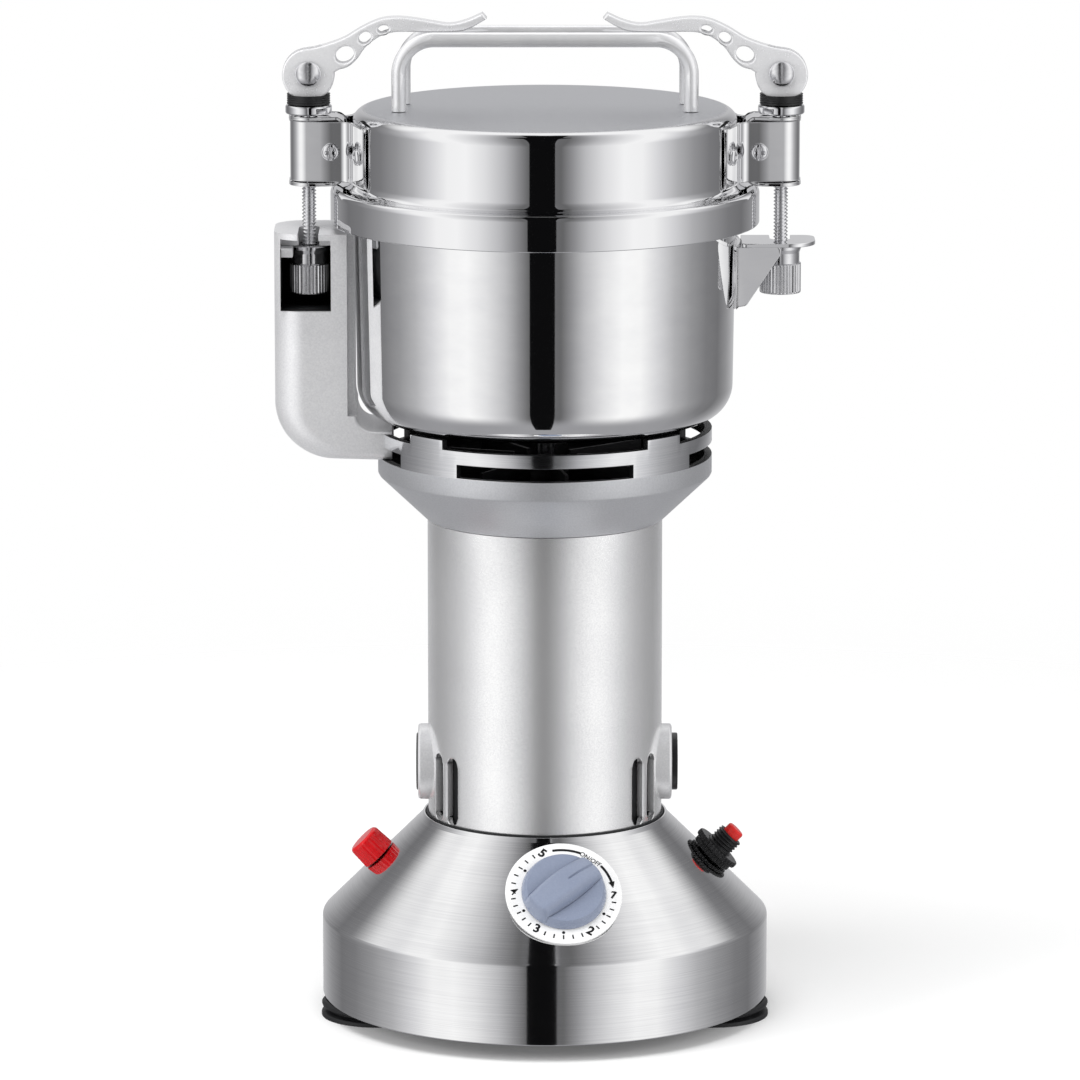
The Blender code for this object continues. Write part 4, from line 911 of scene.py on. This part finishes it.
def makeLid():
    corners = [(0, 372), (77.5, 372, 5.5), (77.5, 340.8, 4), (86.4, 340.8, 2.6), (86.4, 326.3, 0.5),
               (85.2, 326.3, 0.5), (85.2, 339.6, 1.2), (76.3, 339.6, 5.2), (76.3, 370.8, 4.3), (0, 370.8)]
    profile = rounded(corners, steps=14, tiny=0.1)
    makePiece("lid_smooth", "lid", [spin(profile, 256)], "lid stainless", ("lid",))


makeBowl()
makeLid()


# Handle bars

handle = {"front": (-12, 58.5), "rear": (12, 57.2), "radius": 3.0, "top": 401, "foot": 372.15, "bend": 14}


def makeHandles():
    for name in ("front", "rear"):
        depth, half = handle[name]
        corners = [(-half, handle["foot"]), (-half, handle["top"], handle["bend"]),
                   (half, handle["top"], handle["bend"]), (half, handle["foot"])]
        path = rounded(corners, steps=24, loop=False)
        path = np.concatenate([[path[0]], [path[0] + (0, 3)], path[1:-1], [path[-1] + (0, 3)], [path[-1]]])
        spots = np.stack([path[:, 0], np.full(len(path), depth), path[:, 1]], 1)
        makePiece("handle_bar_" + name, "lid", [bar(spots, handle["radius"], (0, 1, 0), 32)], "bright bar",
                  ("handle_" + name,))


makeHandles()
print("bowl, lid and handle are made")


# Clamps, one on each side. Everything is drawn for +X and mirrored by the side's sign.

clamp = {"x": 95.0, "pivotHeight": 386.3, "strapHeight": 355.5, "strapHalf": 12.2, "sheet": 1.5,
         "rodRadius": 3.0, "pitch": 1.45, "threadDepth": 0.8}
toFront = (1, 0, 0), (0, 0, 1), (0, -1, 0)  # axes that turn a part's top to the front


def mirrored(part, side):
    return np.asarray(part[0]) * (side, 1, 1), part[1]


# A pan head with a cross recess sunk into its crown, its axis along z and its seat at z = 0.
def panHead(radius, rise, reach, sink=0.75):
    rings, turns = 36, 96
    r = (np.linspace(0, 1, rings) * radius)[:, None]
    a = np.linspace(0, 2 * pi, turns, endpoint=False)[None]
    x, y = r * np.cos(a), r * np.sin(a)
    height = rise * np.sqrt(np.clip(1 - (r / radius) ** 3.2, 0, 1)) + 0 * a

    def slot(p, q):
        across = 1 / (1 + np.exp((np.abs(p) - 0.09 * radius - 0.25) / 0.07))
        return across / (1 + np.exp((np.abs(q) - reach) / 0.09))

    height = height - sink * np.maximum(slot(x, y), slot(y, x))
    top = np.stack([x, y, height], -1)
    under = np.stack([0 * x[:1], 0 * y[:1], 0 * x[:1]], -1)
    points = np.concatenate([top, under])
    return points.reshape(-1, 3), quads(len(points), turns)


# The strap seen from above: a wing on the lid, a crowned cheek, the round nose, and back.
def strapPath():
    wing, nose, end, bend = 78.55, 9.75, 102.15, 7.6
    angle = np.radians(np.linspace(-24, -9.5, 10))
    lower = np.stack([wing * np.cos(angle), wing * np.sin(angle)], 1)
    root = np.linspace(0, 1, 6)[1:-1, None]
    corner, lead = np.array([79.2, -nose]), np.array([82.0, -nose])
    turnIn = (1 - root) ** 2 * lower[-1] + 2 * root * (1 - root) * corner + root ** 2 * lead
    tip = rounded([(82.0, -nose), (87.5, -nose + 0.25, 60), (end, -nose + 2.6, bend), (end, nose - 2.6, bend),
                   (87.5, nose - 0.25, 60), (82.0, nose)], steps=14, loop=False)
    mirror = np.concatenate([lower, turnIn])[::-1] * (1, -1)
    return np.concatenate([lower, turnIn, tip, mirror])


# The lever's outline: a round head, and an arm whose edges are Catmull-Rom curves through the points.
lever = {
    "upper": ((2.2, 10.3), (7.8, 11.8), (14.6, 14.4), (21.6, 18.6), (28.6, 21.7), (35, 22.6), (42, 22.1),
              (50, 20.8), (56.8, 19.9), (63.4, 21.3), (70, 24.2)),
    "lower": ((71.7, 22.1), (65, 18.3), (60, 16.9), (50, 16.6), (40, 16.9), (33.8, 16.6), (28.6, 14.9),
              (23.3, 10.9), (19.5, 5.8), (16, 2.8), (12.5, 1.7)),
    "holes": ((14.7, 7.6, 4.0, 3.2, 0.61), (22.8, 14.4, 2.8, 2.2, 0.70), (30.2, 17.9, 2.3, 1.6, 0.26)),
    "half": 4.5, "headRadius": 10.5,
}


# Between points 1 and 2: ((2 p1) + (p2 - p0) t + (2 p0 - 5 p1 + 4 p2 - p3) t2 + (3 p1 - p0 - 3 p2 + p3) t3) / 2.
def curveThrough(points, steps=8):
    p = np.asarray(points, float)
    p = np.concatenate([2 * p[:1] - p[1:2], p, 2 * p[-1:] - p[-2:-1]])
    t = np.linspace(0, 1, steps, endpoint=False)[None, :, None]
    a, b, c, d = (p[i:len(p) - 3 + i, None] for i in range(4))
    made = (2 * b + (c - a) * t + (2 * a - 5 * b + 4 * c - d) * t ** 2 + (3 * b - a - 3 * c + d) * t ** 3) / 2
    return np.concatenate([made.reshape(-1, 2), p[-2:-1]])


def leverPart():
    turn = np.radians(np.linspace(6, -260, 90))
    head = np.stack([lever["headRadius"] * np.cos(turn), lever["headRadius"] * np.sin(turn) - 0.6], 1)
    outline = np.concatenate([head, curveThrough(lever["upper"]), curveThrough(lever["lower"])])
    step = np.linalg.norm(np.roll(outline, -1, 0) - outline, axis=1)
    outline = outline[step > 0.05]
    holes = []
    for x, y, wide, high, tilt in lever["holes"]:
        a = np.linspace(0, 2 * pi, 40, endpoint=False)
        u, v = wide * np.cos(a), high * np.sin(a)
        holes.append(np.stack([x + u * cos(tilt) - v * sin(tilt), y + u * sin(tilt) + v * cos(tilt)], 1))
    return plate([outline, *holes], -lever["half"], lever["half"], 0.8)


def makeClamp(side, name):
    x, middle, pivot = clamp["x"], clamp["strapHeight"], clamp["pivotHeight"]

    def fit(piece, parts, finish, node=None, body="lid"):
        hides = (node + "_" + name,) if node else ()
        makePiece(piece + "_" + name, body, [mirrored(p, side) for p in parts], finish, hides)

    def onRod(profile, turns, ripple=None):
        return put(spin(profile, turns, ripple), (x, 0, 0))

    plan = strapPath()
    path = np.concatenate([plan, np.full((len(plan), 1), middle)], 1)
    strap = strip(path, clamp["strapHalf"], clamp["sheet"], (0, 0, 1), 0.4)
    fit("clamp_strap_sheet", [strap], "buffed stainless", "clamp_strap")

    # The C bracket seen from the side. Its half width swells at the root and is round at both ends.
    sideways = [(102.9, 342.25), (80.35, 342.25, 5.25), (80.35, 368.75, 3.75), (102.9, 368.75)]
    ends = np.linspace(94.4, 102.9, 14)
    low = np.stack([ends[::-1], np.full(14, 342.25)], 1)
    high = np.stack([ends, np.full(14, 368.75)], 1)
    path = np.concatenate([low, rounded(sideways, steps=12, loop=False)[1:-1], high])
    run = path[:, 0]
    half = np.where(run < 85, 8.7, 8.7 + 2.1 * np.clip((run - 85) / 1.5, 0, 1))
    half = np.where(run > 94.4, 2.3 + np.sqrt(np.clip(8.5 ** 2 - (run - 94.4) ** 2, 0, None)), half)
    bracket = strip(np.stack([run, 0 * run, path[:, 1]], 1), half, clamp["sheet"], (0, 1, 0), 0.35)
    fit("clamp_bracket_sheet", [bracket], "buffed stainless", "clamp_bracket")

    screw = (86, -10.85, middle)
    head = put(panHead(3.55, 2.0, 2.0), screw, *toFront)
    shank = rounded([(0, -0.2), (1.9, -0.2), (1.9, 21.5), (3, 21.5), (3, 22.8, 0.4), (0, 22.8)], steps=4)
    shank = put(spin(shank, 40), screw, (1, 0, 0), (0, 0, -1), (0, 1, 0))
    fit("pivot_screw_headed", [head, shank], "bright chrome", "pivot_screw")
    wings = []
    for azimuth in (-19, 19):
        out = np.array([cos(radians(azimuth)), sin(radians(azimuth)), 0])
        across = np.array([-out[1], out[0], 0])
        wings.append(put(panHead(3.3, 1.7, 1.8), out * 79.3 + (0, 0, middle), across, (0, 0, 1), out))
    fit("wing_screws", wings, "bright chrome")

    washer = rounded([(3.6, 369.8), (9.35, 369.8, 0.9), (9.35, 373.5, 0.9), (3.6, 373.5)], steps=7)
    fit("clamp_washer_turned", [onRod(washer, 96)], "bright chrome", "clamp_washer")

    # Fine ribs round the saddle, and a bed in its top for the lever's head to roll in.
    def trough(a, r, z):
        ribbed = (r > 8.6) & (z > 374.2) & (z < 377.7)
        groove = np.where(ribbed, 0.28 * (0.5 - 0.5 * np.cos((z - 374.2) * 2 * pi / 0.9)), 0)
        bed = pivot + 0.4 - np.sqrt(np.clip(11.8 ** 2 - (r * np.cos(a)) ** 2, 0, None))
        return r - groove, np.where(z > 377.8, np.minimum(z, bed), z)

    crown = [(r, 378.0) for r in np.linspace(8.6, 3.6, 14)]
    sides = [(8.75, z) for z in np.linspace(374.0, 377.75, 26)]
    saddle = np.array([(3.6, 373.8), (8.5, 373.8), *sides, *crown])
    fit("lever_saddle_moulded", [onRod(saddle, 96, trough)], "black phenolic", "lever_saddle")

    # The thread: the radius falls and rises once each pitch, turned once round, drawn half as coarse again as
    # real. Above it the rod narrows to fit between the lever's cheeks.
    def thread(a, r, z):
        wave = np.abs(((z / clamp["pitch"] - a / (2 * pi)) % 1) - 0.5) * 2
        return np.where((r > 2.5) & (z < 369), r - clamp["threadDepth"] * (1 - wave) ** 0.9, r), z

    levels = np.arange(299.2, 369.2, 0.1437)
    top = [(2.9, 370.5), (2.9, 373.8), (2.05, 374.6), (2.05, 383.0), (0, 383.0)]
    shaft = np.stack([np.full(len(levels), clamp["rodRadius"]), levels], 1)
    rod = np.concatenate([[(0, 299.2)], shaft, top])
    eye = spin(rounded([(2.6, -2), (4.2, -2, 0.3), (4.2, 2, 0.3), (2.6, 2)], steps=4), 48)
    fit("clamp_rod_threaded", [onRod(rod, 28, thread), put(eye, (x, 0, pivot), *toFront)], "bright chrome",
        "clamp_rod")

    def flutes(a, r, z):
        groove = (0.5 - 0.5 * np.cos(36 * a)) ** 0.6
        inside = (r > 7.9) & (z > 297.9) & (z < 308.9)
        return np.where(inside, r - 0.62 * groove, r), z

    nut = rounded([(3.3, 297.2), (8.3, 297.2, 0.7), (8.3, 298.0), (8.3, 303.0), (8.3, 308.8), (8.3, 309.3, 0.2),
                   (7.7, 309.5, 0.2), (7.7, 313.6, 1.2), (8.3, 315.2, 0.5), (8.3, 316.7, 0.5),
                   (3.3, 316.7, 0.3)], steps=5)
    fit("clamp_nut_knurled", [onRod(nut, 288, flutes)], "bright nickel", "clamp_nut", "nut_" + name)

    arm = put(leverPart(), (x, 0, pivot), (-1, 0, 0), (0, 0, 1), (0, 1, 0))
    arm = carve(arm, [box((x - 5.5, -2.3, 373), (x + 12, 2.3, 399.0))])
    fit("clamp_lever_cast", [arm], "tumbled stainless", "clamp_lever", "lever_" + name)
    dome = np.linspace(0, pi / 2, 14)
    front = np.stack([5.3 * np.sin(dome), 3.2 * np.cos(dome) + 4.6], 1)
    pin = np.concatenate([front, [(2.2, 4.6), (2.2, -4.6), (4.5, -4.6), (4.5, -5.9), (4.0, -6.4), (0, -6.4)]])
    fit("lever_pin_domed", [put(spin(pin, 72), (x, 0, pivot), *toFront)], "satin nickel", "lever_pin",
        "lever_" + name)


makeClamp(-1, "left")
makeClamp(1, "right")
print("clamps are made")


# Strike bracket on the right and cast arm on the left, which the clamp nuts pull against

def makeStrike():
    shelf = rounded([(79.2, -12.5, 2), (109, -12.5, 11.25),
                     (109, 12.5, 11.25), (99.2, 12.5, 0.4), (99.2, 0, 4.1),
                     (90.8, 0, 4.1), (90.8, 12.5, 0.4), (79.2, 12.5, 0.4)], steps=12)
    top = plate([shelf], 317.0, 318.6, 0.35)
    angle = np.radians(np.linspace(-12.1, 12.1, 24))
    path = np.stack([78.1 * np.cos(angle), 78.1 * np.sin(angle), 0 * angle + 305.6], 1)
    flange = strip(path, 13.0, 1.6, (0, 0, 1), 0.4)
    front = rounded([(77.6, 317.2, 0.4), (95.0, 317.2, 1.4), (94.6, 314.0, 2), (81.0, 293.4, 2),
                     (77.6, 292.8, 0.6)], steps=7)
    rear = rounded([(77.6, 317.2, 0.4), (83.5, 317.2, 0.4), (81.0, 293.4, 1), (77.6, 292.8, 0.6)], steps=5)
    gussets = [put(plate([outline], -0.8, 0.8, 0.35), (0, depth, 0), *toFront)
               for outline, depth in ((front, -11.7), (rear, 11.7))]
    makePiece("strike_bracket_sheet", "base", [top, flange, *gussets], "buffed stainless", ("strike_bracket",))


# The arm is lofted between its outer and inner edge, from the collar round the bend and up. Each section is a
# box 40 mm deep whose outer corners have the large fillet, drawn smaller where the arm is narrow.
clampArm = {"outer": ((-61.7, 231), (-109, 231, 36.5), (-109, 323.5)),
            "inner": ((-61.7, 243.5), (-76, 243.5, 9.5), (-76, 323.5)),
            "depth": 20, "outerFillet": 12.5, "innerFillet": 2.0}


def makeArm():
    def edgePath(corners):
        path = rounded(corners, steps=26, loop=False, tiny=0.5)
        head = np.linspace(0, 1, 5)[:, None] * (path[1] - path[0]) + path[0]
        foot = np.linspace(0, 1, 9)[:, None] * (path[-1] - path[-2]) + path[-2]
        return np.concatenate([head, path[2:-2], foot])

    outer, inner = edgePath(clampArm["outer"]), edgePath(clampArm["inner"])
    deep, large, small = clampArm["depth"], clampArm["outerFillet"], clampArm["innerFillet"]
    wide = np.linalg.norm(inner - outer, axis=1)
    share = np.clip(np.minimum(large, wide * 0.45) / large, 0, 1)[:, None]
    turn, smallTurn = np.linspace(0, pi / 2, 12), np.linspace(0, pi / 2, 6)
    near = large * (1 - np.sin(turn[::-1]))[None] * share
    nearDepth = deep - large * (1 - np.sin(turn))[None] * share
    far = wide[:, None] - small + small * np.sin(smallTurn)[None]
    farDepth = deep - small + small * np.cos(smallTurn)[None] + 0 * wide[:, None]
    reach, depth = np.concatenate([near, far], 1), np.concatenate([nearDepth, farDepth], 1)
    reach = np.concatenate([reach, reach[:, ::-1]], 1)
    depth = np.concatenate([-depth, depth[:, ::-1]], 1)
    toward = (inner - outer) / wide[:, None]
    flat = outer[:, None] + toward[:, None] * reach[..., None]
    rings = np.stack([flat[..., 0], depth, flat[..., 1]], -1)
    ends = [np.repeat(rings[i].mean(0)[None, None], rings.shape[1], 1) for i in (0, -1)]
    rings = np.concatenate([ends[0], rings, ends[1]])
    block = (rings.reshape(-1, 3), quads(len(rings), rings.shape[1]))
    bowlCut = spin(rounded([(0, 244.4), (77.9, 244.4, 13), (77.9, 340), (0, 340)], steps=10), 128)
    arc = np.linspace(0, pi, 20)
    slotEnd = np.stack([-95 + 4.2 * np.cos(arc), 4.2 * np.sin(arc)], 1)
    slot = plate([np.concatenate([[(-99.2, -30)], [(-90.8, -30)], slotEnd])], 316.6, 331, 0.01)
    sides = [box((-79.5, -30, 249.5), (-60, -13, 340)), box((-79.5, 13, 249.5), (-60, 30, 340))]
    pocket = [box((-106.3, -30, 292.2), (-85.9, 12, 317.0)), box((-106.25, -30, 316.5), (-85.95, -6, 321.0))]
    lug = rounded([(-106.4, 313.4, 0.4), (-101.2, 313.4, 0.5), (-101.2, 317.2, 0.3),
                   (-106.4, 317.2, 0.3)], steps=4)
    lug = put(plate([lug], 8, 15, 0.4), (0, 0, 0), *toFront)
    arm = makePiece("clamp_arm_cast", "base", [carve(block, [bowlCut, *sides, *pocket, slot]), lug],
                    "pale powder coat", ("clamp_arm",), weighted=False)
    breakEdges(arm, 0.4, 35)
    arm.modifiers.new("weighted", "WEIGHTED_NORMAL")


# The pocket's dark inside is painted shade: black slabs an eighth of a millimetre thick on its walls, floor and
# back.
def makePocketShade():
    left, right, near, back, low, high = -106.2, -86.0, -17.5, 11.9, 292.3, 316.9
    slabs = [box((left - 0.02, near, low), (left + 0.1, back, high)),
             box((right - 0.1, near, low), (right + 0.02, back, high)),
             box((left, back - 0.1, low), (right, back + 0.02, high)),
             box((left, near - 0.7, low - 0.02), (right, back, low + 0.1)),
             box((left, 4.6, high - 0.1), (right, back, high + 0.02))]
    makePiece("arm_pocket_painted_shade", "base", slabs, "matt black and painted shade", weighted=False)


makeStrike()
makeArm()
makePocketShade()
print("strike bracket and arm are made")
